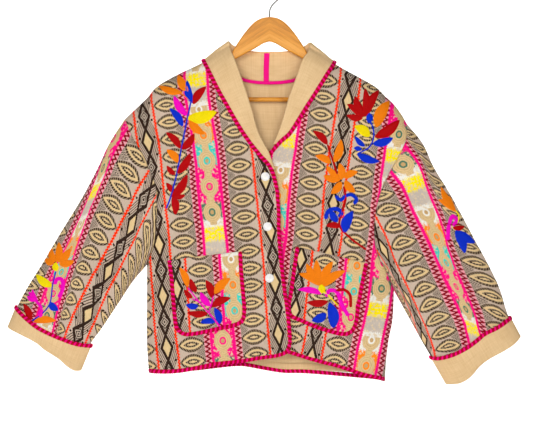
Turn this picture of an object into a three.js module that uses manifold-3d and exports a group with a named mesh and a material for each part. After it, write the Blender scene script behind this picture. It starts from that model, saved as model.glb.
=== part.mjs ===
// A woven jacket with a shawl collar, hung nearly flat on a wooden clothes hanger.
// Millimetres, +Z up. The front faces -Y and the wearer's right is at -X.
// The origin is the inner top of the hook, where a rail carries the whole thing.
import * as THREE from "three";
import Module from "manifold-3d";
import { mergeVertices } from "three/addons/utils/BufferGeometryUtils.js";

// Cloth, edging and seams
const clothWall = 2;
const liningWall = 1.4;
const tapeWall = 0.8;
const seamGap = 0.3;
const liningSlack = 2.6;
const edgingWidth = 8.8;
const edgingThickness = 4.4;
const edgingReach = edgingWidth / 2 + seamGap;

// How far the cloth stands off the middle plane
const bodyDepth = 26;
const shoulderRound = 70;
const sideRound = 30;
const armholeShare = 0.8;
const sleeveDepth = 19;
const lapLift = 4.8;

// Collar, cuffs, pockets, buttons
const collarRollRadius = 2.2;
const collarBackRollRadius = 3.4;
const facingReturn = 14;
const cuffStandOff = 2.6;
const pocketWall = 1.8;
const buttonDiameter = 17.5;
const buttonThickness = 3;

// Hanger
const hangerThickness = 12;
const hangerEdgeRadius = 3;
const hangerSeat = 3;
const hangerApexZ = -70;
const barDiameter = 9;
const barHeight = -235;
const wireDiameter = 3.4;
const hookInnerRadius = 20;
const hookCentreX = 1.5;
const hookBoreDepth = 22;

const table = (names, rows) =>
  rows.map((row) => Object.fromEntries(names.map((name, i) => [name, row[i]])));

// Outlines, seen from the front. `out` is the distance from the middle towards that side, `z` the height.
const outline = {
  right: {
    side: -1,
    shoulder: table(["out", "z"], [
      [88, -138], [133, -161], [175, -181], [205, -196.5], [229, -213], [244, -231], [273, -259], [289, -274],
    ]),
    armhole: table(["out", "z"], [
      [289, -274], [268, -319], [251, -347], [241, -371], [227, -406], [224, -440], [225, -480], [229, -520],
      [245, -566],
    ]),
    sideSeam: table(["out", "z"], [[245, -566], [245, -640], [245, -720], [242, -772]]),
    sleeveTop: table(["out", "z"], [
      [290, -274], [321, -324], [343, -371], [377, -435], [417, -500], [455, -564], [485, -612], [504, -648], [520, -688],
    ]),
    sleeveUnder: table(["out", "z"], [
      [245.5, -566], [271, -596], [303, -644], [335, -692], [361, -728], [371, -750], [381, -774],
    ]),
    cuffTop: table(["out", "z"], [
      [509, -652], [488, -672], [462, -692], [437, -705], [411, -716], [386, -725], [357, -730],
    ]),
    cuffFold: table(["out", "z"], [
      [525, -691], [497, -704], [463, -722], [450, -733], [418, -754], [403, -768], [386, -779], [377, -779],
    ]),
    lapel: table(["rollX", "rollZ", "edgeX", "edgeZ"], [
      [-79, -120, -130, -155], [-79, -127, -127, -161], [-77, -137, -122, -171], [-69, -156, -113, -189],
      [-56, -192, -98, -219], [-43, -230, -82, -247], [-33, -263, -66, -275], [-24, -296, -49, -303], [-13, -320, -33, -326],
      [-1, -342, -16, -347], [11, -376, 5, -374],
    ]),
    frontEdge: table(["x", "z"], [
      [13.6, -411], [17.6, -456], [18.2, -495], [20.6, -536], [27, -596], [35, -656], [40, -705], [39, -724],
    ]),
    frontHem: table(["x", "z"], [
      [39, -724], [32, -738], [16, -744], [-19, -749], [-60, -756], [-110, -762], [-143, -769], [-185, -776],
      [-242, -777],
    ]),
    backHem: table(["x", "z"], [
      [0, -776], [-27, -771], [-50, -767], [-72, -767], [-110, -771], [-165, -777], [-242, -777],
    ]),
  },
  left: {
    side: 1,
    shoulder: table(["out", "z"], [
      [86, -140], [131, -164], [159, -180], [189, -196], [215, -212], [231, -228], [249, -245], [262, -262], [275, -284],
    ]),
    armhole: table(["out", "z"], [
      [275, -284], [271, -317], [258, -347], [237, -384], [221, -420], [211, -460], [208, -500], [213, -540], [233, -580],
      [249, -618],
    ]),
    sideSeam: table(["out", "z"], [[249, -618], [246, -676], [239, -712], [234, -750], [231, -789]]),
    sleeveTop: table(["out", "z"], [
      [276, -284], [307, -324], [329, -371], [359, -420], [385, -467], [411, -516], [437, -564], [460, -612], [478, -668],
      [498, -704],
    ]),
    sleeveUnder: table(["out", "z"], [
      [249.5, -618], [272, -659], [299, -708], [321, -746], [336, -772], [353, -802],
    ]),
    cuffTop: table(["out", "z"], [
      [484, -673], [455, -692], [427, -706], [413, -718], [392, -733], [364, -747], [336, -754], [323, -753],
    ]),
    cuffFold: table(["out", "z"], [
      [504, -710], [490, -723], [469, -736], [441, -751], [420, -766], [399, -790], [378, -803], [354, -807],
    ]),
    lapel: table(["rollX", "rollZ", "edgeX", "edgeZ"], [
      [80, -126, 128, -158], [79, -132, 125, -164], [76, -141, 120, -173], [65, -158, 110, -188],
      [51, -197, 93, -216], [38, -232, 75, -244], [31, -258, 60, -268], [19, -296, 40, -300], [7, -326, 16, -324],
    ]),
    frontEdge: table(["x", "z"], [
      [-8, -357], [-14, -369], [-21, -387], [-26, -411], [-30, -456], [-32, -536], [-37, -596], [-43, -656],
      [-45, -690], [-41, -708],
    ]),
    frontHem: table(["x", "z"], [
      [-41, -708], [-30, -719], [-10, -725], [15, -731], [58, -744], [95, -755], [142, -767], [177, -779],
      [231, -792],
    ]),
    backHem: table(["x", "z"], [
      [0, -776], [26, -780], [70, -781], [124, -785], [159, -788], [204, -792], [231, -795],
    ]),
  },
};

// The collar behind the neck: its roll, the edge of its fall outside the back, and the neck seam inside.
const backCollar = table(["rollOut", "rollY", "rollZ", "edgeOut", "edgeZ", "seamOut", "seamZ"], [
  [0, 25, -137, 0, -205, 0, -199],
  [30, 24, -136, 42, -203, 30, -197],
  [56, 19, -132, 82, -195, 56, -188],
  [71, 14, -126, 112, -178, 73, -172],
  [78, 9, -121, 125, -163, 81, -146],
]);
const collarSeamX = -5;
const backNeck = table(["out", "z"], [[0.15, -201], [30, -199.2], [58, -192], [79, -172], [88, -139]]);

// Largest folds of the body and sleeves: a line from one end to the other, its half width, and how far it stands proud.
const foldColumns = ["x1", "z1", "x2", "z2", "width", "rise"];
const frontFolds = table(foldColumns, [
  [-222, -545, -168, -440, 16, -4],
  [-208, -600, -200, -775, 18, 3.5],
  [-118, -470, -112, -750, 26, -2.5],
  [196, -420, 214, -600, 14, -6],
  [188, -610, 196, -790, 18, 3],
  [120, -520, 104, -760, 24, -2.5],
  [-292, -400, -352, -560, 22, -5],
  [-330, -470, -430, -640, 24, 4],
  [-300, -590, -395, -690, 20, -3.5],
  [296, -400, 348, -560, 22, -5],
  [320, -480, 405, -660, 24, 4],
  [292, -640, 372, -720, 20, -3.5],
]);
const backFolds = table(foldColumns, [
  [-210, -560, -150, -430, 20, -4],
  [-150, -480, -160, -770, 30, 3.5],
  [-40, -420, -52, -770, 34, -3],
  [70, -450, 82, -770, 32, 3.5],
  [206, -600, 150, -440, 20, -4],
  [170, -520, 182, -790, 24, -3],
  [-300, -420, -400, -640, 26, 4.5],
  [-290, -560, -380, -700, 20, -4],
  [300, -430, 390, -660, 26, 4.5],
  [288, -620, 352, -730, 20, -4],
]);

const clamp = THREE.MathUtils.clamp;
const smooth = (value, from, to) => {
  const t = clamp((value - from) / (to - from), 0, 1);
  return t * t * (3 - 2 * t);
};
const quarterRound = (t) => Math.sqrt(1 - (1 - clamp(t, 0, 1)) ** 2);

// A smooth value read from a table, straight on beyond its ends.
function lookUp(rows, key, value) {
  const sorted = [...rows].sort((a, b) => a[key] - b[key]);
  const last = sorted.length - 1;
  const slopes = sorted.map((row, i) => {
    const before = sorted[Math.max(i - 1, 0)];
    const after = sorted[Math.min(i + 1, last)];
    return (after[value] - before[value]) / (after[key] - before[key]);
  });
  return (at) => {
    if (at <= sorted[0][key]) return sorted[0][value] + slopes[0] * (at - sorted[0][key]);
    if (at >= sorted[last][key]) return sorted[last][value] + slopes[last] * (at - sorted[last][key]);
    const i = sorted.findIndex((row) => row[key] > at) - 1;
    const span = sorted[i + 1][key] - sorted[i][key];
    const t = (at - sorted[i][key]) / span;
    const eased = t * t * (3 - 2 * t);
    const leaving = t * (1 - t) ** 2 * slopes[i];
    const arriving = t * t * (t - 1) * slopes[i + 1];
    return THREE.MathUtils.lerp(sorted[i][value], sorted[i + 1][value], eased) + span * (leaving + arriving);
  };
}

// A curve through a table's points, read by its share of length. `out` columns are turned to x by the side's sign.
function curveThrough(rows, side = 1) {
  const points = rows.map((row) => new THREE.Vector3(row.x ?? side * row.out, row.y ?? 0, row.z));
  const curve = new THREE.CatmullRomCurve3(points, false, "centripetal");
  return (share) => curve.getPointAt(clamp(share, 0, 1));
}
const joinedCurves = (first, second, share) => (t) =>
  t <= share ? first(t / share) : second((t - share) / (1 - share));

// A curve moved sideways in the plane of the front, away from the middle of that side when `distance` is positive.
function movedSideways(curve, distance) {
  const step = 0.002;
  return (t) => {
    const along = curve(Math.min(t + step, 1)).sub(curve(Math.max(t - step, 0))).normalize();
    return curve(t).add(new THREE.Vector3(-along.z * distance, 0, along.x * distance));
  };
}

// A sheet's plan between four edge curves.
function planBetween(inner, outer, top, bottom) {
  return (u, v) => {
    const across = inner(v).lerp(outer(v), u);
    const down = top(u).lerp(bottom(u), v);
    const corners = top(0).lerp(top(1), u).lerp(bottom(0).lerp(bottom(1), u), v);
    return across.add(down).sub(corners);
  };
}

function foldHeight(folds, x, z) {
  let height = 0;
  for (const fold of folds) {
    const runX = fold.x2 - fold.x1;
    const runZ = fold.z2 - fold.z1;
    const length = Math.hypot(runX, runZ);
    const along = ((x - fold.x1) * runX + (z - fold.z1) * runZ) / length;
    const aside = ((x - fold.x1) * runZ - (z - fold.z1) * runX) / length;
    const fade = smooth(along, -0.1 * length, 0.3 * length) * (1 - smooth(along, 0.75 * length, 1.1 * length));
    height += fold.rise * fade * Math.exp(-((aside / fold.width) ** 2));
  }
  return height;
}

for (const part of Object.values(outline)) {
  part.shoulderZ = lookUp(part.shoulder, "out", "z");
  part.armholeOut = lookUp(part.armhole, "z", "out");
  part.sideOut = lookUp(part.sideSeam, "z", "out");
  part.tipZ = part.armhole[0].z;
  part.armpitZ = part.sideSeam[0].z;
}

// Distance of the body's outer face from the middle plane, on the front (face -1) or the back (face 1).
function bodyDepthAt(part, face, x, z) {
  const out = part.side * x;
  const below = (part.shoulderZ(out) - z) * 0.87;
  const top = quarterRound(below / shoulderRound);
  const above = z > part.armpitZ;
  const toEdge = (above ? part.armholeOut(z) : part.sideOut(z)) - out;
  const drop = clamp((part.tipZ - z) / (part.tipZ - part.armpitZ), 0, 1);
  const share = above ? armholeShare * Math.sqrt(1 - drop ** 6) : 0;
  const round = share + (1 - share) * quarterRound(toEdge / sideRound);
  const folds = foldHeight(face < 0 ? frontFolds : backFolds, x, z) * top * smooth(toEdge, 0, 24);
  let lap = 0;
  if (face < 0) {
    const low = 1 - smooth(z, -325, -235);
    lap = -part.side * lapLift * low * (1 - smooth(out, 40, 85));
  }
  return bodyDepth * top * round + folds + lap;
}

const onBody = (part, face, x, z, lift = 0) => {
  const step = 1;
  const depth = (dx, dz) => face * bodyDepthAt(part, face, x + dx, z + dz);
  const slopeX = (depth(step, 0) - depth(-step, 0)) / (2 * step);
  const slopeZ = (depth(0, step) - depth(0, -step)) / (2 * step);
  const normal = new THREE.Vector3(-slopeX, 1, -slopeZ).multiplyScalar(face).normalize();
  const point = new THREE.Vector3(x, depth(0, 0), z).addScaledVector(normal, lift);
  return { point, normal };
};

// A closed solid between two grids of points, rims included. `ring` joins the last column to the first.
function shellBetween(outer, inner, ring = false) {
  const rows = outer.length;
  const columns = outer[0].length;
  const points = [...outer.flat(), ...inner.flat()];
  const at = (layer, i, j) => layer * rows * columns + i * columns + (j % columns);
  const index = [];
  const quad = (a, b, c, d) => index.push(a, b, c, a, c, d);
  const lastColumn = ring ? columns : columns - 1;
  for (let i = 0; i < rows - 1; i++)
    for (let j = 0; j < lastColumn; j++) {
      quad(at(0, i, j), at(0, i, j + 1), at(0, i + 1, j + 1), at(0, i + 1, j));
      quad(at(1, i, j), at(1, i + 1, j), at(1, i + 1, j + 1), at(1, i, j + 1));
    }
  for (let j = 0; j < lastColumn; j++) {
    quad(at(0, 0, j), at(1, 0, j), at(1, 0, j + 1), at(0, 0, j + 1));
    quad(at(0, rows - 1, j), at(0, rows - 1, j + 1), at(1, rows - 1, j + 1), at(1, rows - 1, j));
  }
  if (!ring)
    for (let i = 0; i < rows - 1; i++) {
      quad(at(0, i, 0), at(0, i + 1, 0), at(1, i + 1, 0), at(1, i, 0));
      quad(at(0, i, columns - 1), at(1, i, columns - 1), at(1, i + 1, columns - 1), at(0, i + 1, columns - 1));
    }
  return solidGeometry(points, index);
}

// Points and triangles as a geometry whose faces point out.
function solidGeometry(points, index) {
  let volume = 0;
  for (let i = 0; i < index.length; i += 3) {
    const [a, b, c] = [points[index[i]], points[index[i + 1]], points[index[i + 2]]];
    volume += a.dot(b.clone().cross(c));
  }
  if (volume < 0) for (let i = 0; i < index.length; i += 3) [index[i], index[i + 1]] = [index[i + 1], index[i]];
  const geometry = new THREE.BufferGeometry().setFromPoints(points);
  geometry.setIndex(index);
  geometry.computeVertexNormals();
  return geometry;
}

// Outward directions of a grid of points, with `outside` giving a rough one. `ring` grids close on themselves.
function gridNormals(grid, outside, ring = false) {
  return grid.map((row, i) =>
    row.map((point, j) => {
      const count = row.length;
      const before = ring ? row[(j + count - 1) % count] : row[Math.max(j - 1, 0)];
      const after = ring ? row[(j + 1) % count] : row[Math.min(j + 1, count - 1)];
      const across = after.clone().sub(before);
      const down = grid[Math.min(i + 1, grid.length - 1)][j].clone().sub(grid[Math.max(i - 1, 0)][j]);
      const normal = across.cross(down).normalize();
      return normal.dot(outside(point, i, j)) < 0 ? normal.negate() : normal;
    }),
  );
}
const movedIn = (grid, normals, distance) =>
  grid.map((row, i) => row.map((point, j) => point.clone().addScaledVector(normals[i][j], -distance)));

// An oval cord through stations that each have a centre, a direction across and a normal.
function cordThrough(stations, width, thickness, { sides = 6, closed = false } = {}) {
  const points = [];
  const index = [];
  for (const { centre, across, normal } of stations)
    for (let k = 0; k < sides; k++) {
      const turn = (2 * Math.PI * k) / sides;
      const point = centre.clone().addScaledVector(across, (width / 2) * Math.cos(turn));
      points.push(point.addScaledVector(normal, (thickness / 2) * Math.sin(turn)));
    }
  const last = stations.length - 1;
  for (let i = 0; i < (closed ? stations.length : last); i++)
    for (let k = 0; k < sides; k++) {
      const ahead = ((i + 1) % stations.length) * sides;
      const next = (k + 1) % sides;
      index.push(i * sides + k, i * sides + next, ahead + next);
      index.push(i * sides + k, ahead + next, ahead + k);
    }
  const end = last * sides;
  if (!closed) for (let k = 1; k < sides - 1; k++) index.push(0, k + 1, k, end, end + k, end + k + 1);
  return solidGeometry(points, index);
}

const wasm = await Module();
wasm.setup();
function toSolid(geometry) {
  const bare = geometry.index ? geometry.toNonIndexed() : geometry.clone();
  bare.deleteAttribute("normal");
  bare.deleteAttribute("uv");
  const merged = mergeVertices(bare, 1e-3);
  const mesh = new wasm.Mesh({
    numProp: 3,
    vertProperties: merged.attributes.position.array,
    triVerts: new Uint32Array(merged.index.array),
  });
  return new wasm.Manifold(mesh);
}
function toGeometry(solid) {
  const mesh = solid.getMesh();
  const geometry = new THREE.BufferGeometry();
  geometry.setAttribute("position", new THREE.BufferAttribute(Float32Array.from(mesh.vertProperties), 3));
  geometry.setIndex([...mesh.triVerts]);
  geometry.computeVertexNormals();
  return geometry;
}

// What is left of a piece beside its neighbours, which come as grids of points that are grown by the seam gap.
function clearOf(geometry, neighbours) {
  let left = toSolid(geometry);
  for (const { grid, normals } of neighbours) {
    const wider = grid.map(([rim, next, ...rest]) => [
      rim.clone().addScaledVector(rim.clone().sub(next).normalize(), seamGap),
      next,
      ...rest,
    ]);
    const [above, below] = [-1.5 * seamGap, clothWall + seamGap].map((inward) => movedIn(wider, normals, inward));
    left = left.subtract(toSolid(shellBetween(above, below)));
  }
  return toGeometry(left.decompose().sort((a, b) => b.volume() - a.volume())[0]);
}

// Rows of the panels by their share of the armhole, then of the side seam; columns from the middle to the side.
const armholeRows = [0, 0.012, 0.05, 0.12, 0.22, 0.34, 0.47, 0.6, 0.73, 0.85, 0.94, 0.985, 1];
const sideRows = [0.14, 0.32, 0.52, 0.72, 0.87, 0.95, 1];
const armholePart = 0.56;
const rowShares = [
  ...armholeRows.map((share) => share * armholePart),
  ...sideRows.map((share) => armholePart + share * (1 - armholePart)),
];
const columnShares = [0, 0.035, 0.1, 0.22, 0.36, 0.5, 0.64, 0.77, 0.87, 0.94, 0.978, 0.993, 1];
const armholeEnd = armholeRows.length - 1;

// A direction in the plane of the front, square to a curve and away from the middle.
function outwardOf(curve, part, share) {
  const step = 0.004;
  const along = curve(Math.min(share + step, 1)).sub(curve(Math.max(share - step, 0))).normalize();
  return new THREE.Vector3(-along.z * part.side, 0, along.x * part.side);
}

// The armhole's points on one face, with the wall directions that body and sleeve share there.
function armholeStations(part, face) {
  const curve = curveThrough(part.armhole, part.side);
  const points = armholeRows.map((share) => {
    const plan = curve(share);
    const seam = share === 0 || share === 1;
    plan.y = seam ? face * (seamGap / 2) : face * bodyDepthAt(part, face, plan.x, plan.z);
    return plan;
  });
  return points.map((point, i) => {
    const share = armholeRows[i];
    const outward = outwardOf(curve, part, share);
    const down = new THREE.Vector3(outward.z * part.side, 0, -outward.x * part.side);
    const before = points[Math.max(i - 1, 0)];
    const after = points[Math.min(i + 1, points.length - 1)];
    const normal = after.clone().sub(before).cross(outward).normalize();
    if (normal.y * face < 0) normal.negate();
    if (share === 0) normal.copy(down).negate();
    if (share === 1) normal.copy(down);
    return { point, normal, outward };
  });
}

// Edge curves of one side of the body, all read from top to hem or from the middle to the side.
function bodyEdges(part) {
  const corner = part.frontHem[0];
  const edging = curveThrough([...part.frontEdge, ...part.frontHem.slice(1)]);
  const scan = Array.from({ length: 401 }, (_, i) => i / 400);
  const missOf = (share) => Math.hypot(edging(share).x - corner.x, edging(share).z - corner.z);
  const cornerShare = scan.reduce((best, share) => (missOf(share) < missOf(best) ? share : best), 0);
  const clothEdge = movedSideways(edging, part.side * edgingReach);
  const frontHem = (u) => clothEdge(cornerShare + u * (1 - cornerShare));
  const neckPoint = part.shoulder[0];
  const neckEdge = part.lapel.slice(3).map((row) => {
    const leg = new THREE.Vector3(row.edgeX - row.rollX, 0, row.edgeZ - row.rollZ).normalize();
    const point = new THREE.Vector3(row.rollX, 0, row.rollZ);
    return point.addScaledVector(leg, collarRollRadius + liningWall / 2);
  });
  const frontEdge = scan.filter((_, i) => i % 25 === 15).map((share) => clothEdge(share * cornerShare));
  const innerPoints = [{ out: neckPoint.out, z: neckPoint.z }, ...neckEdge, ...frontEdge];
  const inner = curveThrough(
    [...innerPoints, frontHem(0)].map((p) => (p.out ? p : { x: p.x, z: p.z })),
    part.side,
  );
  const shoulder = curveThrough(part.shoulder, part.side);
  const outer = joinedCurves(
    curveThrough(part.armhole, part.side),
    curveThrough(part.sideSeam, part.side),
    armholePart,
  );
  const neckPart = 0.36;
  const backTop = joinedCurves(curveThrough(backNeck.slice(0, -1).concat(neckPoint), part.side), shoulder, neckPart);
  const backHem = movedSideways(curveThrough(part.backHem), part.side * edgingReach);
  const middleX = part.side * (seamGap / 2);
  const middle = (v) => new THREE.Vector3(middleX, 0, THREE.MathUtils.lerp(backNeck[0].z, backHem(0).z, v));
  const levelled = (v) => v + 0.45 * v * (1 - v);
  return {
    front: planBetween((v) => inner(levelled(v)), outer, shoulder, frontHem),
    back: planBetween(middle, outer, backTop, backHem),
  };
}

// One side's half of a panel: its outer points and wall directions. A face of -1 is the front, 1 the back.
function panelHalf(part, face, columns) {
  const plan = bodyEdges(part)[face < 0 ? "front" : "back"];
  const stations = armholeStations(part, face);
  const grid = rowShares.map((v) =>
    columns.map((u) => {
      const point = plan(u, v);
      point.y = face * bodyDepthAt(part, face, point.x, point.z);
      return point;
    }),
  );
  const lastColumn = columns.length - 1;
  const neckPart = face < 0 ? 0 : 0.36;
  columns.forEach((u, j) => {
    if (u >= neckPart) grid[0][j].y = face * (seamGap / 2);
  });
  grid.forEach((row, i) => {
    if (i > armholeEnd) row[lastColumn].y = face * (seamGap / 2);
    else row[lastColumn].copy(stations[i].point);
  });
  const normals = gridNormals(grid, () => new THREE.Vector3(0, face, 0));
  const shoulder = curveThrough(part.shoulder, part.side);
  columns.forEach((u, j) => {
    if (u < neckPart) return;
    normals[0][j].copy(outwardOf(shoulder, part, (u - neckPart) / (1 - neckPart)));
    if (normals[0][j].z < 0) normals[0][j].negate();
  });
  const sideSeam = curveThrough(part.sideSeam, part.side);
  grid.forEach((row, i) => {
    if (i <= armholeEnd) normals[i][lastColumn].copy(stations[i].normal);
    else normals[i][lastColumn].copy(outwardOf(sideSeam, part, sideRows[i - armholeEnd - 1]));
  });
  return { grid, normals };
}

const panels = {
  frontRight: panelHalf(outline.right, -1, columnShares),
  frontLeft: panelHalf(outline.left, -1, columnShares),
};
const backColumns = [0, 0.12, 0.24, 0.36, 0.46, 0.56, 0.66, 0.77, 0.87, 0.94, 0.978, 0.993, 1];
{
  const right = panelHalf(outline.right, 1, backColumns);
  const left = panelHalf(outline.left, 1, backColumns);
  const joinRows = (a, b) => a.map((row, i) => [...[...row].reverse().slice(0, -1), ...b[i]]);
  panels.back = { grid: joinRows(right.grid, left.grid), normals: joinRows(right.normals, left.normals) };
}
const wallOf = ({ grid, normals }, thickness = clothWall, ring = false) =>
  shellBetween(grid, movedIn(grid, normals, thickness), ring);

// The back lining lies inside the back, clear of the seams.
function backLining() {
  const { grid, normals } = panels.back;
  const rows = grid.map((_, i) => i).filter((i) => i === 0 || (i > 3 && i % 2 === 0));
  const belowShoulder = 2;
  const layer = (depthIn) =>
    rows.map((i) =>
      grid[i].slice(3, -3).map((_, k) => {
        const j = k + 3;
        const atNeck = Math.abs(j - (grid[0].length - 1) / 2) < 2;
        const from = i === 0 && !atNeck ? belowShoulder : i;
        const slack = i === 0 ? seamGap * 3 : liningSlack;
        return grid[from][j].clone().addScaledVector(normals[from][j], -depthIn - slack);
      }),
    );
  return shellBetween(layer(clothWall + seamGap), layer(clothWall + seamGap + liningWall));
}

// Sleeves: flattened tubes from the armhole to the turned-back end.
const sleeveSteps = [0, 0.04, 0.1, 0.18, 0.27, 0.36, 0.45, 0.54, 0.63, 0.72, 0.81, 0.9, 1];
const tubeProfile = (w) => Math.sqrt(Math.max(0, 1 - Math.abs(2 * w - 1) ** 2.6));
const cuffSetBack = 7;

function sleeveEndPoints(part) {
  const inside = part.cuffFold.slice(1, -1).map((row) => ({ out: row.out - 5, z: row.z + cuffSetBack }));
  return [part.sleeveTop.at(-1), ...inside, part.sleeveUnder.at(-1)];
}

function sleeveGrid(part) {
  const [front, back] = [armholeStations(part, -1), armholeStations(part, 1)];
  const armhole = curveThrough(part.armhole, part.side);
  const start = (w) => armhole(w).addScaledVector(outwardOf(armhole, part, w), seamGap);
  const withStart = (w, rows) => [{ x: start(w).x, z: start(w).z }, ...rows.slice(1)];
  const top = curveThrough(withStart(0, part.sleeveTop), part.side);
  const under = curveThrough(withStart(1, part.sleeveUnder), part.side);
  const plan = planBetween(top, under, start, curveThrough(sleeveEndPoints(part), part.side));
  const depthAt = (w, i, l, face, point) => {
    const stations = face < 0 ? front : back;
    const own = sleeveDepth * tubeProfile(w);
    const atArmhole = Math.abs(stations[i].point.y);
    const folds = foldHeight(face < 0 ? frontFolds : backFolds, point.x, point.z);
    const fade = smooth(l, 0, 0.1) * (1 - smooth(l, 0.72, 0.86)) * tubeProfile(w);
    return THREE.MathUtils.lerp(atArmhole, own, smooth(l, 0, 0.25)) + folds * fade;
  };
  const half = (l, face) =>
    armholeRows.map((w, i) => {
      const point = plan(w, l);
      point.y = face * depthAt(w, i, l, face, point);
      return point;
    });
  const last = armholeRows.length - 1;
  const grid = sleeveSteps.map((l) => {
    const ahead = half(l, -1);
    const behind = half(l, 1);
    ahead[0].y = 0;
    ahead[last].y = 0;
    return [...ahead, ...behind.slice(1, -1).reverse()];
  });
  const outside = (point, i, j) => {
    const w = j <= last ? armholeRows[j] : armholeRows[2 * last - j];
    const face = j <= last ? -1 : 1;
    const across = plan(0, sleeveSteps[i]).sub(plan(1, sleeveSteps[i])).normalize();
    return across.multiplyScalar(1 - 2 * w).add(new THREE.Vector3(0, face * tubeProfile(w), 0));
  };
  const normals = gridNormals(grid, outside, true);
  front.forEach((station, j) => normals[0][j].copy(station.normal));
  for (let j = 1; j < last; j++) normals[0][2 * last - j].copy(back[j].normal);
  return { grid, normals };
}

// A turned-back sleeve end: a wider tube outside the sleeve, curled in under the sleeve's edge.
const cuffAcross = [0, 0.02, 0.07, 0.16, 0.3, 0.5, 0.7, 0.84, 0.93, 0.98, 1];
function cuffGrid(part) {
  const top = curveThrough(part.cuffTop, part.side);
  const fold = curveThrough(part.cuffFold, part.side);
  const run = (from, to) => (t) => from.clone().lerp(to, t);
  const plan = planBetween(run(top(0), fold(0)), run(top(1), fold(1)), top, fold);
  const depth = sleeveDepth + cuffStandOff;
  const levels = [
    { down: 0, tuck: 0 },
    { down: 0.35, tuck: 0 },
    { down: 0.7, tuck: 0 },
    { down: 0.93, tuck: 0 },
    { down: 0.985, tuck: 1.2 },
    { down: 1, tuck: 4.4 },
  ];
  const grid = levels.map(({ down, tuck }) => {
    const middle = plan(0.5, down);
    const ringPoint = (w, face) => {
      const point = plan(w, down);
      const towards = middle.clone().sub(point);
      const aside = Math.abs(2 * w - 1);
      point.addScaledVector(towards.normalize(), tuck * aside ** 2);
      point.y = face * Math.max(0, depth * tubeProfile(w) - tuck * tubeProfile(w));
      return point;
    };
    const ahead = cuffAcross.map((w) => ringPoint(w, -1));
    const behind = cuffAcross.slice(1, -1).reverse().map((w) => ringPoint(w, 1));
    return [...ahead, ...behind];
  });
  const last = cuffAcross.length - 1;
  const outside = (point, i, j) => {
    const w = j <= last ? cuffAcross[j] : cuffAcross[2 * last - j];
    const across = plan(0, 0.5).sub(plan(1, 0.5)).normalize().multiplyScalar(1 - 2 * w);
    return across.add(new THREE.Vector3(0, (j <= last ? -1 : 1) * tubeProfile(w), 0));
  };
  return { grid, normals: gridNormals(grid, outside, true) };
}

// The edging round a cuff's upper edge.
function cuffEdging(part, { grid, normals }) {
  const rim = grid[0];
  const stations = rim.map((point, j) => {
    const across = point.clone().sub(grid[1][j]).normalize();
    const normal = normals[0][j];
    const centre = point.clone().addScaledVector(across, edgingReach).addScaledVector(normal, 0.8);
    return { centre, across, normal };
  });
  return cordThrough(stations, edgingWidth, edgingThickness, { closed: true });
}

// Height of a panel's flat facets above the middle plane, where the panel reaches.
function facetDepth({ grid }, face, x, z) {
  const inside = (a, b, c) => {
    const area = (b.x - a.x) * (c.z - a.z) - (c.x - a.x) * (b.z - a.z);
    const s = ((b.x - a.x) * (z - a.z) - (x - a.x) * (b.z - a.z)) / area;
    const t = ((x - a.x) * (c.z - a.z) - (c.x - a.x) * (z - a.z)) / area;
    return s >= 0 && t >= 0 && s + t <= 1 ? face * (a.y + t * (b.y - a.y) + s * (c.y - a.y)) : undefined;
  };
  for (let i = 0; i < grid.length - 1; i++)
    for (let j = 0; j < grid[i].length - 1; j++) {
      const [a, b, c, d] = [grid[i][j], grid[i][j + 1], grid[i + 1][j + 1], grid[i + 1][j]];
      const depth = inside(a, b, c) ?? inside(a, c, d);
      if (depth !== undefined) return depth;
    }
  return -Infinity;
}

// A point that lies `lift` above a panel, over its curve and its facets alike.
function over(part, face, panel, x, z, lift) {
  const { point, normal } = onBody(part, face, x, z);
  point.y = face * Math.max(face * point.y, facetDepth(panel, face, x, z));
  return { point: point.addScaledVector(normal, lift), normal };
}

const sides = {
  right: { part: outline.right, panel: panels.frontRight },
  left: { part: outline.left, panel: panels.frontLeft },
};
const collarLift = 0.8 + liningWall / 2;
const legShares = [0, 0.2, 0.42, 0.64, 0.84];
const turnAngles = [0, 45, 90, 135, 180].map(THREE.MathUtils.degToRad);

// The collar's stations, from the centre back over the shoulder to the tip of the lapel.
function collarStations({ part, panel }) {
  const behind = backCollar.map((row, i) => {
    const across = (out) => (i ? part.side * out : collarSeamX + part.side * (seamGap / 2));
    const edge = over(part, 1, panels.back, across(row.edgeOut), row.edgeZ, collarLift).point;
    const seamDepth = bodyDepthAt(part, 1, across(row.seamOut), row.seamZ) - clothWall / 2;
    return {
      face: 1,
      roll: new THREE.Vector3(across(row.rollOut), row.rollY, row.rollZ),
      edge,
      seam: new THREE.Vector3(across(row.seamOut), seamDepth, row.seamZ),
      radius: collarBackRollRadius,
    };
  });
  const ahead = part.lapel.map((row, i) => {
    const onShoulder = i === 0;
    const rollDepth = bodyDepthAt(part, -1, row.rollX, row.rollZ) - clothWall / 2;
    const edge = over(part, -1, panel, row.edgeX, row.edgeZ, collarLift).point;
    return {
      face: onShoulder ? 0 : -1,
      roll: new THREE.Vector3(row.rollX, onShoulder ? 3 : -rollDepth, row.rollZ),
      edge: onShoulder ? new THREE.Vector3(row.edgeX, 0, row.edgeZ) : edge,
      radius: onShoulder ? collarBackRollRadius : collarRollRadius,
      inside: i < 3 ? 3 : facingReturn,
    };
  });
  const stations = [...behind, ...ahead];
  let out = new THREE.Vector3(0, 1, 0);
  stations.forEach((station, i) => {
    const before = stations[Math.max(i - 1, 0)].roll;
    const after = stations[Math.min(i + 1, stations.length - 1)].roll;
    const along = i ? after.clone().sub(before) : new THREE.Vector3(part.side, 0, 0);
    const leg = station.roll.clone().sub(station.edge).normalize();
    const turned = along.cross(leg).normalize();
    if (turned.dot(out) < 0) turned.negate();
    out = turned;
    Object.assign(station, { leg, out });
  });
  return stations;
}

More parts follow.
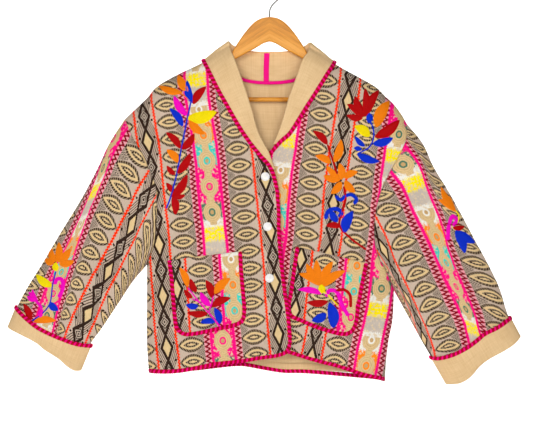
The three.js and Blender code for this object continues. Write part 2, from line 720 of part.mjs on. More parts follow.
function collarGrid(own) {
  const { part, panel } = own;
  const stations = collarStations(own);
  const wallDirections = [];
  const grid = stations.map((station) => {
    const { face, roll, edge, leg, out, radius } = station;
    const centre = roll.clone().addScaledVector(leg, -radius - liningWall / 2);
    const fallEnd = centre.clone().addScaledVector(out, radius);
    const fall = legShares.map((share) => {
      const point = edge.clone().lerp(fallEnd, share);
      if (!face) return point;
      const sheet = face < 0 ? panel : panels.back;
      const lifted = over(part, face, sheet, point.x, point.z, collarLift).point;
      if (face * lifted.y > face * point.y) point.y = lifted.y;
      return point;
    });
    const turn = turnAngles.map((angle) => {
      const point = centre.clone().addScaledVector(out, radius * Math.cos(angle));
      return point.addScaledVector(leg, radius * Math.sin(angle));
    });
    const start = turn.at(-1);
    let end = station.seam;
    if (!end) {
      end = start.clone().addScaledVector(leg, -station.inside);
      if (face) end.y = -(bodyDepthAt(part, -1, end.x, end.z) - clothWall - collarLift);
    }
    wallDirections.push([
      ...legShares.map(() => out),
      ...turnAngles.map((a) => out.clone().multiplyScalar(Math.cos(a)).addScaledVector(leg, Math.sin(a))),
      out.clone().negate(),
      out.clone().negate(),
    ]);
    return [...fall, ...turn, start.clone().lerp(end, 0.5), end.clone()];
  });
  const normals = gridNormals(grid, (point, i, j) => wallDirections[i][j]);
  normals[0].forEach((normal) => normal.setX(0).normalize());
  return { grid, normals, stations };
}

// The edging of one side: round the collar, down the front edge and along the front hem to the side seam.
function frontEdging(own, collar) {
  const { part, panel } = own;
  const lift = edgingThickness / 2 + 0.5;
  const places = collar.stations.map(({ face, edge, leg }) => {
    const spot = edge.clone().addScaledVector(leg, -edgingReach);
    if (!face) return { centre: spot, normal: new THREE.Vector3(0.5 * part.side, 0, 0.87) };
    const { point, normal } = over(part, face, face < 0 ? panel : panels.back, spot.x, spot.z, lift);
    return { centre: point, normal };
  });
  const lapelEnd = part.lapel.at(-1).rollZ;
  const lastRow = panel.grid.length - 1;
  const lastColumn = panel.grid[0].length - 1;
  const border = [];
  panel.grid.forEach((row, i) => {
    if (row[0].z < lapelEnd - 18 && i < lastRow) border.push([i, 0]);
  });
  panel.grid[lastRow].forEach((_, j) => border.push([lastRow, j]));
  border.forEach(([i, j], k) => {
    const point = panel.grid[i][j];
    const normal = panel.normals[i][j];
    const inward = panel.grid[Math.max(i - 1, 0)][Math.min(j + 1, lastColumn)];
    const [p, q] = [border[Math.max(k - 1, 0)], border[Math.min(k + 1, border.length - 1)]];
    const along = panel.grid[q[0]][q[1]].clone().sub(panel.grid[p[0]][p[1]]);
    const across = along.cross(normal).normalize();
    if (across.dot(point.clone().sub(inward)) < 0) across.negate();
    const centre = point.clone().addScaledVector(across, edgingReach);
    centre.addScaledVector(normal, k === 0 ? lift : -clothWall / 2);
    places.push({ centre, normal, across: across.negate() });
  });
  places.forEach((place, k) => {
    if (place.across) return;
    const ahead = places[Math.min(k + 1, places.length - 1)].centre;
    const along = ahead.clone().sub(places[Math.max(k - 1, 0)].centre);
    place.across = along.cross(place.normal).normalize();
    if (k === 0) place.across.setX(0).normalize();
    const away = collar.stations[k] ? collar.stations[k].leg.clone().negate() : place.across;
    if (place.across.dot(away) < 0) place.across.negate();
  });
  return cordThrough(places, edgingWidth, edgingThickness);
}

function backHemEdging() {
  const last = panels.back.grid.length - 1;
  const row = panels.back.grid[last];
  const stations = row.map((point, j) => {
    const normal = panels.back.normals[last][j];
    const along = row[Math.min(j + 1, row.length - 1)].clone().sub(row[Math.max(j - 1, 0)]);
    const across = along.cross(normal).normalize();
    if (across.z > 0) across.negate();
    const centre = point.clone().addScaledVector(across, edgingReach).addScaledVector(normal, -clothWall / 2);
    return { centre, across, normal };
  });
  return cordThrough(stations, edgingWidth, edgingThickness);
}

// Patch pockets. The edging runs down the outer side, round the bottom and up to the inner top corner.
const pockets = {
  right: {
    lowCorners: [{ x: -180, z: -699 }, { x: -56, z: -679 }],
    edging: table(["x", "z"], [
      [-199, -555], [-194, -596], [-191, -636], [-188, -670], [-184, -690], [-172, -701], [-155, -702], [-122, -696],
      [-95, -690], [-70, -684], [-54, -676], [-50, -656], [-52, -623], [-56, -576], [-58, -538],
    ]),
  },
  left: {
    lowCorners: [{ x: 166, z: -695 }, { x: 42, z: -665 }],
    edging: table(["x", "z"], [
      [191, -561], [189, -573], [182, -611], [175, -653], [171, -681], [161, -698], [147, -702], [126, -698], [91, -687],
      [63, -675], [43, -666], [38, -653], [43, -618], [49, -576], [56, -529],
    ]),
  },
};
const pocketLift = 0.6;

function pocketGrid({ part, panel }, { edging, lowCorners }) {
  const line = curveThrough(edging);
  const cloth = movedSideways(line, part.side * edgingReach);
  const scan = Array.from({ length: 301 }, (_, i) => i / 300);
  const missOf = (share, corner) => Math.hypot(line(share).x - corner.x, line(share).z - corner.z);
  const [low, far] = lowCorners.map((corner) =>
    scan.reduce((best, share) => (missOf(share, corner) < missOf(best, corner) ? share : best), 0),
  );
  const outerSide = (v) => cloth(v * low);
  const innerSide = (v) => cloth(1 - v * (1 - far));
  const bottom = (u) => cloth(low + u * (far - low));
  const top = (u) => outerSide(0).lerp(innerSide(0), u);
  const plan = planBetween(outerSide, innerSide, top, bottom);
  const shares = [0, 0.07, 0.2, 0.35, 0.5, 0.65, 0.8, 0.93, 1];
  const placed = shares.map((v) =>
    shares.map((u) => {
      const spot = plan(u, v);
      return over(part, -1, panel, spot.x, spot.z, pocketLift + pocketWall);
    }),
  );
  return {
    grid: placed.map((row) => row.map(({ point }) => point)),
    normals: placed.map((row) => row.map(({ normal }) => normal)),
  };
}

function pocketEdging({ grid, normals }) {
  const last = grid.length - 1;
  const border = [];
  for (let i = 0; i <= last; i++) border.push([i, 0]);
  for (let j = 1; j <= last; j++) border.push([last, j]);
  for (let i = last - 1; i >= 0; i--) border.push([i, last]);
  const middle = grid[4][4];
  const stations = border.map(([i, j], k) => {
    const [p, q] = [border[Math.max(k - 1, 0)], border[Math.min(k + 1, border.length - 1)]];
    const along = grid[q[0]][q[1]].clone().sub(grid[p[0]][p[1]]);
    const normal = normals[i][j];
    const across = along.cross(normal).normalize();
    if (across.dot(grid[i][j].clone().sub(middle)) < 0) across.negate();
    const centre = grid[i][j].clone().addScaledVector(across, edgingReach);
    return { centre: centre.addScaledVector(normal, edgingThickness / 2 - pocketWall), across, normal };
  });
  return cordThrough(stations, edgingWidth, edgingThickness);
}

// A round button with a raised rim, on the over front.
const buttonPlaces = table(["name", "x", "z"], [
  ["button_top", -8.4, -390],
  ["button_middle", -4, -489],
  ["button_bottom", 0, -591],
]);
function button({ x, z }) {
  const radius = buttonDiameter / 2;
  const profile = [
    [0, 0], [radius - 0.8, 0], [radius, 0.8], [radius, buttonThickness - 0.8], [radius - 0.8, buttonThickness],
    [radius - 2, buttonThickness], [radius - 2.8, buttonThickness - 0.8], [0, buttonThickness - 0.8],
  ];
  const disc = new THREE.LatheGeometry(profile.map(([r, h]) => new THREE.Vector2(r, h)), 20);
  const { point, normal } = over(outline.right, -1, panels.frontRight, x, z, seamGap + 0.4);
  const turn = new THREE.Quaternion().setFromUnitVectors(new THREE.Vector3(0, 1, 0), normal);
  return disc.applyQuaternion(turn).translate(point.x, point.y, point.z);
}

// Bias tape inside the back neck: along the neck seam, and up the collar's centre-back seam.
const neckTapeWidth = 6;
const centreTapeWidth = 10;
function neckTape() {
  const xs = [-56, -42, -28, -14, 0, 14, 28, 42, 52];
  const neckZ = lookUp(backNeck, "out", "z");
  const inFromOutside = clothWall + 2 * seamGap + liningWall + 1.6;
  const layer = (depthIn) =>
    xs.map((x) => {
      const part = x < 0 ? outline.right : outline.left;
      const z = neckZ(Math.abs(x)) + 1;
      const onLining = (height) => new THREE.Vector3(x, bodyDepthAt(part, 1, x, height) - depthIn, height);
      return [onLining(z), onLining(z - neckTapeWidth)];
    });
  return shellBetween(layer(inFromOutside), layer(inFromOutside + tapeWall));
}
function centreTape({ grid, normals }) {
  const columns = [9, 10, 11].map((j) => ({ point: grid[0][j].clone(), normal: normals[0][j] }));
  const layer = (lift) =>
    columns.map(({ point, normal }) =>
      [-0.5, 0.5].map((half) => {
        const moved = point.clone().addScaledVector(normal, lift);
        if (point === columns[2].point) moved.z += 5;
        return moved.setX(collarSeamX + half * centreTapeWidth);
      }),
    );
  const under = liningWall / 2 + seamGap + 0.3;
  return shellBetween(layer(under), layer(under + tapeWall));
}

// Hanger: two shaped arms that meet in the middle, a round bar between their ends, and a wire hook.
const armNeck = table(["out", "z"], [
  [5, -70.4], [14, -72], [25, -77], [36, -86], [49, -101], [60, -116.5], [71, -134], [80, -149],
]);
const armUnder = table(["out", "z"], [[156, -201], [112, -177], [69, -154.5], [32, -134.5], [10, -122]]);
const barSeatOut = 188;
function hangerArm(part) {
  const tip = part.side < 0 ? 221 : 212;
  const meeting = seamGap / 2 + 0.05;
  const along = [102, 117, 134, 156, 178, 198, tip - 6];
  const topZ = (out) => part.shoulderZ(out) - (clothWall + hangerSeat) / 0.87;
  const top = [...armNeck, ...along.map((out) => ({ out, z: topZ(out) }))];
  const endZ = topZ(tip - 6);
  const end = table(["out", "z"], [
    [tip, endZ - 6], [tip + 1, endZ - 16], [tip - 2, endZ - 30], [tip - 10, endZ - 37], [barSeatOut + 8, endZ - 37],
    [barSeatOut, endZ - 32], [barSeatOut, endZ - 14], [barSeatOut - 8, endZ - 10],
  ]);
  const border = [{ out: meeting, z: hangerApexZ }, ...top, ...end, ...armUnder, { out: meeting, z: -118.5 }];
  const shape = new THREE.Shape(border.map(({ out, z }) => new THREE.Vector2(part.side * out, z)));
  const bevel = hangerEdgeRadius;
  const arm = new THREE.ExtrudeGeometry(shape, {
    depth: hangerThickness - 2 * bevel,
    bevelThickness: bevel,
    bevelSize: bevel,
    bevelOffset: -bevel,
    bevelSegments: 2,
  });
  arm.rotateX(Math.PI / 2).translate(0, hangerThickness / 2 - bevel, 0);
  const boreRadius = wireDiameter / 2 + seamGap;
  const bore = new THREE.CylinderGeometry(boreRadius, boreRadius, 2 * hookBoreDepth, 12);
  bore.rotateX(Math.PI / 2).translate(0, 0, hangerApexZ);
  return toGeometry(toSolid(arm).subtract(toSolid(bore)));
}
function hangerBar() {
  const length = 2 * (barSeatOut - seamGap);
  return new THREE.CylinderGeometry(barDiameter / 2, barDiameter / 2, length, 16).rotateZ(Math.PI / 2);
}
function hangerHook() {
  const bend = hookInnerRadius + wireDiameter / 2;
  const centre = new THREE.Vector3(hookCentreX, 0, -hookInnerRadius);
  const onCircle = (degrees) => {
    const angle = THREE.MathUtils.degToRad(degrees);
    return centre.clone().add(new THREE.Vector3(bend * Math.cos(angle), 0, bend * Math.sin(angle)));
  };
  const [from, to] = [-50, 205];
  const heading = onCircle(from + 1).sub(onCircle(from)).normalize();
  const stemFoot = new THREE.Vector3(0, 0, hangerApexZ - hookBoreDepth + 2);
  const stemTop = new THREE.Vector3(0, 0, hangerApexZ + 8);
  const sweep = new THREE.CubicBezierCurve3(
    stemTop,
    stemTop.clone().setZ(stemTop.z + 12),
    onCircle(from).addScaledVector(heading, -9),
    onCircle(from),
  );
  const path = [stemFoot, ...sweep.getPoints(6)];
  for (let step = 1; step <= 20; step++) path.push(onCircle(from + ((to - from) * step) / 20));
  const stations = path.map((point, i) => {
    const along = path[Math.min(i + 1, path.length - 1)].clone().sub(path[Math.max(i - 1, 0)]).normalize();
    return { centre: point, across: new THREE.Vector3(-along.z, 0, along.x), normal: new THREE.Vector3(0, 1, 0) };
  });
  return cordThrough(stations, wireDiameter, wireDiameter, { sides: 8 });
}

const finish = (color, roughness, metalness = 0) =>
  new THREE.MeshStandardMaterial({ color, roughness, metalness });
const finishes = {
  jacquard: finish("#b98f7c", 0.9),
  lining: finish("#dcbc8c", 0.9),
  edging: finish("#d4104f", 0.85),
  tape: finish("#ff007a", 0.8),
  shell: finish("#f1efe8", 0.3),
  wood: finish("#eaa54a", 0.5),
  steel: finish("#a9a9a6", 0.3, 1),
};

const jacket = new THREE.Group();
function add(name, geometry, material) {
  const mesh = new THREE.Mesh(geometry, material);
  mesh.name = name;
  jacket.add(mesh);
}

add("back", wallOf(panels.back), finishes.jacquard);
add("back_lining", backLining(), finishes.lining);
for (const [name, own] of Object.entries(sides)) {
  const { part, panel } = own;
  const collar = collarGrid(own);
  const cuff = cuffGrid(part);
  const pocket = pocketGrid(own, pockets[name]);
  const collarFaces = [-0.5, 0.5].map((share) => movedIn(collar.grid, collar.normals, share * liningWall));
  add("front_" + name, wallOf(panel), finishes.jacquard);
  add("sleeve_" + name, wallOf(sleeveGrid(part), clothWall, true), finishes.jacquard);
  add("cuff_" + name, wallOf(cuff, liningWall, true), finishes.lining);
  add("cuff_trim_" + name, cuffEdging(part, cuff), finishes.edging);
  add("collar_" + name, clearOf(shellBetween(...collarFaces), [panel, panels.back]), finishes.lining);
  const collarSheet = { grid: collarFaces[0], normals: collar.normals };
  add("trim_" + name, clearOf(frontEdging(own, collar), [panel, panels.back, collarSheet]), finishes.edging);
  add("pocket_" + name, wallOf(pocket, pocketWall), finishes.jacquard);
  add("pocket_trim_" + name, pocketEdging(pocket), finishes.edging);
  add("hanger_" + name, hangerArm(part), finishes.wood);
  if (name === "right") add("tape_centre", centreTape(collar), finishes.tape);
}
add("trim_back", backHemEdging(), finishes.edging);
add("tape_neck", neckTape(), finishes.tape);
for (const place of buttonPlaces) add(place.name, button(place), finishes.shell);
add("hanger_bar", hangerBar().translate(0, 0, barHeight), finishes.wood);
add("hook", hangerHook(), finishes.steel);

export default jacket;
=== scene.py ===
# %% [markdown]
# A woven jacket hangs on a wooden hanger. Its cloth is a striped jacquard with satin-stitch sprays,
# a plain beige shawl collar and turned-back cuffs, and a two-colour crocheted edging.
# The imported model is loaded first. It fixes where every piece goes, and its parts are hidden where finished pieces
# take their place.

import bisect
import math

import bmesh
import bpy
from mathutils import Matrix, Vector
from mathutils.bvhtree import BVHTree


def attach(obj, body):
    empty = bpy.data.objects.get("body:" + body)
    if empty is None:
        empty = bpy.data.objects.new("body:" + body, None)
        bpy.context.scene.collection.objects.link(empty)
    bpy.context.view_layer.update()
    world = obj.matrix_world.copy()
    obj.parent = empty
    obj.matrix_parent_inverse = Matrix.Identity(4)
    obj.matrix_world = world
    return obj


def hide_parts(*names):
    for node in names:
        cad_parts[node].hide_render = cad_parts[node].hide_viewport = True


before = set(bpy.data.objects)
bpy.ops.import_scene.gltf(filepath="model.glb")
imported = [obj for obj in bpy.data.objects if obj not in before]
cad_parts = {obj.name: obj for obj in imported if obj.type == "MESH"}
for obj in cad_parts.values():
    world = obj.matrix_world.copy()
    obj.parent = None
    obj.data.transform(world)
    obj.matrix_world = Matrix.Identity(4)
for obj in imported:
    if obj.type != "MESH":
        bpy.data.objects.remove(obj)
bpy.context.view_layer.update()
MM = 0.001
print("frame of", len(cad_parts), "nodes")

# %% [markdown]
# Cloth hangs in smooth lines, so each edge of a sewn piece is a smooth curve through a few measured
# points. A piece is then the sheet stretched between its four edges. These helpers work in
# millimetres, with the front facing -Y, and only the finished vertices are turned to metres.

# %% Curves and sheets between them
def clamp(value, low=0.0, high=1.0):
    return max(low, min(high, value))


def smooth(value, start, end):
    t = clamp((value - start) / (end - start))
    return t * t * (3 - 2 * t)


def mix(a, b, t):
    return a + (b - a) * t


def quarter_round(t):
    return math.sqrt(1 - (1 - clamp(t)) ** 2)


def plan(x, z):
    return Vector((x, 0, z))


def curve_through(points, steps=24):
    """A smooth curve read by its share of length."""
    knots = [Vector(p) for p in points]
    knots = [2 * knots[0] - knots[1], *knots, 2 * knots[-1] - knots[-2]]
    samples = []
    for a, b, c, d in zip(knots, knots[1:], knots[2:], knots[3:]):
        before, here, after = (max((q - p).length, 1e-4) ** 0.5 for p, q in ((a, b), (b, c), (c, d)))
        leave = ((b - a) / before - (c - a) / (before + here) + (c - b) / here) * here
        arrive = ((c - b) / here - (d - b) / (here + after) + (d - c) / after) * here
        for step in range(steps):
            t = step / steps
            bend = t * (1 - t) ** 2 * leave + t * t * (t - 1) * arrive
            samples.append(b.lerp(c, t * t * (3 - 2 * t)) + bend)
    samples.append(knots[-2])
    lengths = [0.0]
    for p, q in zip(samples, samples[1:]):
        lengths.append(lengths[-1] + (q - p).length)

    def at(share):
        goal = clamp(share) * lengths[-1]
        i = clamp(bisect.bisect_right(lengths, goal) - 1, 0, len(samples) - 2)
        return samples[i].lerp(samples[i + 1], (goal - lengths[i]) / (lengths[i + 1] - lengths[i]))

    at.length = lengths[-1]
    return at


def plan_curve(rows):
    return curve_through([plan(x, z) for x, z in rows])


def nearest_share(curve, spot, steps):
    return min((i / steps for i in range(steps + 1)), key=lambda share: (curve(share) - spot).length)


def look_up(pairs):
    """A smooth value read from (key, value) pairs, straight on beyond its ends."""
    pairs = sorted(pairs)
    keys = [key for key, _ in pairs]
    last = len(pairs) - 1
    slopes = []
    for i in range(len(pairs)):
        (k0, v0), (k1, v1) = pairs[max(i - 1, 0)], pairs[min(i + 1, last)]
        slopes.append((v1 - v0) / (k1 - k0))

    def at(key):
        if key <= keys[0]:
            return pairs[0][1] + slopes[0] * (key - keys[0])
        if key >= keys[-1]:
            return pairs[-1][1] + slopes[-1] * (key - keys[-1])
        i = bisect.bisect_right(keys, key) - 1
        span = keys[i + 1] - keys[i]
        t = (key - keys[i]) / span
        bend = t * (1 - t) ** 2 * slopes[i] + t * t * (t - 1) * slopes[i + 1]
        return mix(pairs[i][1], pairs[i + 1][1], t * t * (3 - 2 * t)) + span * bend

    return at


def joined(first, second, share):
    return lambda t: first(t / share) if t <= share else second((t - share) / (1 - share))


def heading(curve, share, step=0.002):
    return (curve(min(share + step, 1)) - curve(max(share - step, 0))).normalized()


def moved_sideways(curve, distance):
    def at(share):
        along = heading(curve, share)
        return curve(share) + Vector((-along.z, 0, along.x)) * distance

    return at


def between(inner, outer, top, bottom):
    """The sheet between four edge curves, u from inner to outer and v from top to bottom."""
    def at(u, v):
        corners = top(0).lerp(top(1), u).lerp(bottom(0).lerp(bottom(1), u), v)
        return inner(v).lerp(outer(v), u) + top(u).lerp(bottom(u), v) - corners

    return at


print("curve helpers ready")

# %% [markdown]
# The pattern pieces follow. `out` is how far a point lies from the middle towards its side and z is
# its height. The wearer's right side laps over the left at the front, and the two sides hang
# unevenly, as a real jacket does.

# %% Pattern pieces
CLOTH, LINING, SEAM = 2.0, 1.4, 0.3
EDGING_WIDTH, EDGING_THICK = 8.8, 4.4
EDGING_REACH = EDGING_WIDTH / 2 - 1.5
BODY_DEPTH, SHOULDER_ROUND, SIDE_ROUND, ARMHOLE_SHARE = 26, 70, 30, 0.8
SLEEVE_DEPTH, LAP_LIFT, CUFF_STAND_OFF, CUFF_SET_BACK = 19, 4.8, 2.6, 7
SHOULDER_COSINE = 0.87
ROLL_RADIUS, BACK_ROLL_RADIUS, FACING_RETURN = 2.2, 3.4, 14
RIGHT = {
    "side": -1,
    "shoulder": [(88, -138), (133, -161), (175, -181), (205, -196.5), (229, -213), (244, -231), (273, -259),
                 (289, -274)],
    "armhole": [(289, -274), (268, -319), (251, -347), (241, -371), (227, -406), (224, -440), (225, -480),
                (229, -520), (245, -566)],
    "side_seam": [(245, -566), (245, -640), (245, -720), (242, -772)],
    "sleeve_top": [(290, -274), (321, -324), (343, -371), (377, -435), (417, -500), (455, -564), (485, -612),
                   (504, -648), (520, -688)],
    "sleeve_under": [(245.5, -566), (271, -596), (303, -644), (335, -692), (361, -728), (371, -750),
                     (381, -774)],
    "cuff_top": [(509, -652), (488, -672), (462, -692), (437, -705), (411, -716), (386, -725), (357, -730)],
    "cuff_fold": [(525, -691), (497, -704), (463, -722), (450, -733), (418, -754), (403, -768), (386, -779),
                  (377, -779)],
    # roll x and z, then edge x and z
    "lapel": [(-79, -120, -130, -155), (-79, -127, -127, -161), (-77, -137, -122, -171),
              (-69, -156, -113, -189),
              (-56, -192, -98, -219), (-43, -230, -82, -247), (-33, -263, -66, -275), (-24, -296, -49, -303),
              (-13, -320, -33, -326), (-1, -342, -16, -347), (11, -376, 5, -374)],
    "front_edge": [(13.6, -411), (17.6, -456), (18.2, -495), (20.6, -536), (27, -596), (35, -656), (40, -705),
                   (39, -724)],
    "front_hem": [(39, -724), (32, -738), (16, -744), (-19, -749), (-60, -756), (-110, -762), (-143, -769),
                  (-185, -776), (-242, -777)],
    "back_hem": [(0, -776), (-27, -771), (-50, -767), (-72, -767), (-110, -771), (-165, -777), (-242, -777)],
}
LEFT = {
    "side": 1,
    "shoulder": [(86, -140), (131, -164), (159, -180), (189, -196), (215, -212), (231, -228), (249, -245),
                 (262, -262), (275, -284)],
    "armhole": [(275, -284), (271, -317), (258, -347), (237, -384), (221, -420), (211, -460), (208, -500),
                (213, -540), (233, -580), (249, -618)],
    "side_seam": [(249, -618), (246, -676), (239, -712), (234, -750), (231, -789)],
    "sleeve_top": [(276, -284), (307, -324), (329, -371), (359, -420), (385, -467), (411, -516), (437, -564),
                   (460, -612), (478, -668), (498, -704)],
    "sleeve_under": [(249.5, -618), (272, -659), (299, -708), (321, -746), (336, -772), (353, -802)],
    "cuff_top": [(484, -673), (455, -692), (427, -706), (413, -718), (392, -733), (364, -747), (336, -754),
                 (323, -753)],
    "cuff_fold": [(504, -710), (490, -723), (469, -736), (441, -751), (420, -766), (399, -790), (378, -803),
                  (354, -807)],
    "lapel": [(80, -126, 128, -158), (79, -132, 125, -164), (76, -141, 120, -173), (65, -158, 110, -188),
              (51, -197, 93, -216), (38, -232, 75, -244), (31, -258, 60, -268), (19, -296, 40, -300),
              (7, -326, 16, -324)],
    "front_edge": [(-8, -357), (-14, -369), (-21, -387), (-26, -411), (-30, -456), (-32, -536), (-37, -596),
                   (-43, -656), (-45, -690), (-41, -708)],
    "front_hem": [(-41, -708), (-30, -719), (-10, -725), (15, -731), (58, -744), (95, -755), (142, -767),
                  (177, -779), (231, -792)],
    "back_hem": [(0, -776), (26, -780), (70, -781), (124, -785), (159, -788), (204, -792), (231, -795)],
}
SIDES = (("right", RIGHT), ("left", LEFT))
# roll out, y and z, edge out and z, seam out and z
BACK_COLLAR = [(0, 25, -137, 0, -205, 0, -199), (30, 24, -136, 42, -203, 30, -197),
               (56, 19, -132, 82, -195, 56, -188),
               (71, 14, -126, 112, -178, 73, -172), (78, 9, -121, 125, -163, 81, -146)]
COLLAR_SEAM_X = -5
BACK_NECK = [(0.15, -201), (30, -199.2), (58, -192), (79, -172), (88, -139)]
NECK_PART, ARMHOLE_PART = 0.36, 0.56

# %% [markdown]
# Creases are soft troughs and ridges. Each one runs along a line, fades at both ends and has a
# smooth cross-section, which is how thick woven cloth folds. The first rows of each table are the
# largest folds of the solid model, and the later ones are the finer creases of the cloth.

# %% Folds: x and z of both ends, half width, rise
FRONT_FOLDS = [
    (-222, -545, -168, -440, 16, -4), (-208, -600, -200, -775, 18, 3.5), (-118, -470, -112, -750, 26, -2.5),
    (196, -420, 214, -600, 14, -6), (188, -610, 196, -790, 18, 3), (120, -520, 104, -760, 24, -2.5),
    (-292, -400, -352, -560, 22, -5), (-330, -470, -430, -640, 24, 4), (-300, -590, -395, -690, 20, -3.5),
    (296, -400, 348, -560, 22, -5), (320, -480, 405, -660, 24, 4), (292, -640, 372, -720, 20, -3.5),
    (-228, -470, -196, -360, 9, -1.6), (-200, -520, -150, -470, 8, -1.4), (-236, -600, -214, -700, 9, 1.3),
    (-170, -700, -166, -775, 10, -1.2), (-60, -690, -52, -755, 12, 1.2), (-70, -260, -120, -340, 12, -1.1),
    (204, -470, 160, -400, 9, -1.6), (216, -560, 176, -520, 8, -1.4), (228, -640, 222, -770, 9, 1.4),
    (60, -640, 48, -735, 12, -1.2), (150, -700, 146, -775, 11, 1.3), (96, -250, 130, -340, 12, -1.1),
    (-262, -420, -330, -470, 9, -1.6), (-262, -540, -330, -600, 9, -1.8), (-352, -520, -470, -640, 12, -1.6),
    (-380, -620, -440, -700, 9, 1.5), (-300, -480, -380, -560, 9, 1.3), (-330, -400, -400, -500, 10, 1.3),
    (262, -440, 320, -500, 9, -1.7), (268, -600, 330, -650, 9, -1.8), (340, -520, 440, -660, 12, -1.6),
    (360, -640, 410, -730, 9, 1.5), (300, -520, 350, -620, 9, 1.3), (320, -400, 380, -500, 10, 1.3),
]
BACK_FOLDS = [
    (-210, -560, -150, -430, 20, -4), (-150, -480, -160, -770, 30, 3.5), (-40, -420, -52, -770, 34, -3),
    (70, -450, 82, -770, 32, 3.5), (206, -600, 150, -440, 20, -4), (170, -520, 182, -790, 24, -3),
    (-300, -420, -400, -640, 26, 4.5), (-290, -560, -380, -700, 20, -4), (300, -430, 390, -660, 26, 4.5),
    (288, -620, 352, -730, 20, -4), (-220, -480, -180, -380, 10, -1.7), (214, -500, 170, -390, 10, -1.7),
    (-110, -620, -104, -770, 12, -1.3), (20, -600, 26, -770, 12, 1.3), (128, -640, 132, -780, 12, -1.3),
    (-330, -500, -430, -660, 10, 1.5), (330, -500, 420, -670, 10, 1.5), (-60, -240, -130, -330, 14, -1.2),
    (80, -240, 140, -330, 14, -1.2), (-270, -480, -330, -560, 9, -1.5), (270, -520, 330, -600, 9, -1.5),
]


def prepared(folds):
    rows = []
    for x1, z1, x2, z2, width, rise in folds:
        length = math.hypot(x2 - x1, z2 - z1)
        rows.append((x1, z1, (x2 - x1) / length, (z2 - z1) / length, length, width, rise))
    return rows


FOLDS = {-1: prepared(FRONT_FOLDS), 1: prepared(BACK_FOLDS)}


def fold_height(face, x, z):
    height = 0.0
    for x1, z1, run_x, run_z, length, width, rise in FOLDS[face]:
        aside = (x - x1) * run_z - (z - z1) * run_x
        if abs(aside) > 3 * width:
            continue
        along = (x - x1) * run_x + (z - z1) * run_z
        fade = smooth(along, -0.1 * length, 0.3 * length) * (1 - smooth(along, 0.75 * length, 1.1 * length))
        height += rise * fade * math.exp(-((aside / width) ** 2))
    return height


for part in (RIGHT, LEFT):
    part["shoulder_z"] = look_up(part["shoulder"])
    part["armhole_out"] = look_up([(z, out) for out, z in part["armhole"]])
    part["side_out"] = look_up([(z, out) for out, z in part["side_seam"]])
    part["tip_z"], part["armpit_z"] = part["armhole"][0][1], part["side_seam"][0][1]


def body_depth(part, face, x, z, folds=True):
    """How far the body's outer face stands from the middle plane, in front (-1) or behind (1)."""
    out = part["side"] * x
    top = quarter_round((part["shoulder_z"](out) - z) * SHOULDER_COSINE / SHOULDER_ROUND)
    above = z > part["armpit_z"]
    to_edge = (part["armhole_out"](z) if above else part["side_out"](z)) - out
    drop = clamp((part["tip_z"] - z) / (part["tip_z"] - part["armpit_z"]))
    share = ARMHOLE_SHARE * math.sqrt(1 - drop ** 6) if above else 0
    rounded = share + (1 - share) * quarter_round(to_edge / SIDE_ROUND)
    depth = BODY_DEPTH * top * rounded
    if folds:
        depth += fold_height(face, x, z) * top * smooth(to_edge, 0, 24)
    if face < 0:
        low = 1 - smooth(z, -325, -235)
        depth -= part["side"] * LAP_LIFT * low * (1 - smooth(out, 40, 85))
    return depth


def side_of(x):
    return RIGHT if x < 0 else LEFT


def on_side(part, rows):
    return [plan(part["side"] * out, z) for out, z in rows]


def side_curve(part, rows):
    return curve_through(on_side(part, rows))


print("pattern pieces and folds ready")

# %% [markdown]
# A sewn piece starts as a flat grid, which is cloth laid on the table. Its corners are then moved
# onto the shape it hangs in, and its UV map keeps the place of each thread in millimetres, so the
# woven stripes bend with the cloth. Solidify gives it the thickness of real cloth, inwards.

# %% From a flat grid to hung cloth
def new_object(name, contents):
    piece = bpy.data.objects.new(name, contents)
    bpy.context.scene.collection.objects.link(piece)
    return piece


def grid_piece(name, columns, rows, place, threads, outward=None, wrap=False):
    cloth = bmesh.new()
    bmesh.ops.create_grid(cloth, x_segments=columns, y_segments=rows, size=0.5)
    layer = cloth.loops.layers.uv.new("threads")
    for face in cloth.faces:
        face.smooth = True
        for loop in face.loops:
            loop[layer].uv = threads(loop.vert.co.x + 0.5, 0.5 - loop.vert.co.y)
    for vertex in cloth.verts:
        vertex.co = place(vertex.co.x + 0.5, 0.5 - vertex.co.y) * MM
    if wrap:
        bmesh.ops.remove_doubles(cloth, verts=cloth.verts, dist=1e-6)
    cloth.normal_update()
    middle = sum((face.calc_center_median() for face in cloth.faces), Vector()) / len(cloth.faces)
    facing = 0.0
    for face in cloth.faces:
        away = Vector(outward) if outward else face.calc_center_median() - middle
        facing += face.normal.dot(away) * face.calc_area()
    if facing < 0:
        bmesh.ops.reverse_faces(cloth, faces=cloth.faces)
    mesh_data = bpy.data.meshes.new(name)
    cloth.to_mesh(mesh_data)
    cloth.free()
    return new_object(name, mesh_data)


def dress(piece, nodes, materials, wall=0.0):
    """Gives a piece its wall, its finishes and its place in the model."""
    for material in materials:
        piece.data.materials.append(material)
    if wall:
        solid = piece.modifiers.new("wall", "SOLIDIFY")
        solid.thickness = wall * MM
        solid.offset = -1
        solid.material_offset = len(materials) - 1
        solid.material_offset_rim = 0
    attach(piece, "root")
    if nodes:
        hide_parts(*nodes)
    return piece


def area_of(piece):
    return sum(face.area for face in piece.data.polygons)


def declare_sheet(piece, width, length, rests_on):
    """States the flat cut: its width and length in mm, with the area that the shaped cut has."""
    area = clamp(area_of(piece), 0.31 * width * length * MM * MM, width * length * MM * MM)
    print(piece.name, "cut", width, "x", length, "mm, area", round(area, 4), "m2")


# %% [markdown]
# Every finish is made of shader nodes. One helper adds any node, or fills one that is there already:
# a name that the node knows as a setting is set, and any other name is one of its sockets, filled
# with a number, a colour or another node's output. All patterns are measured in millimetres of cloth.

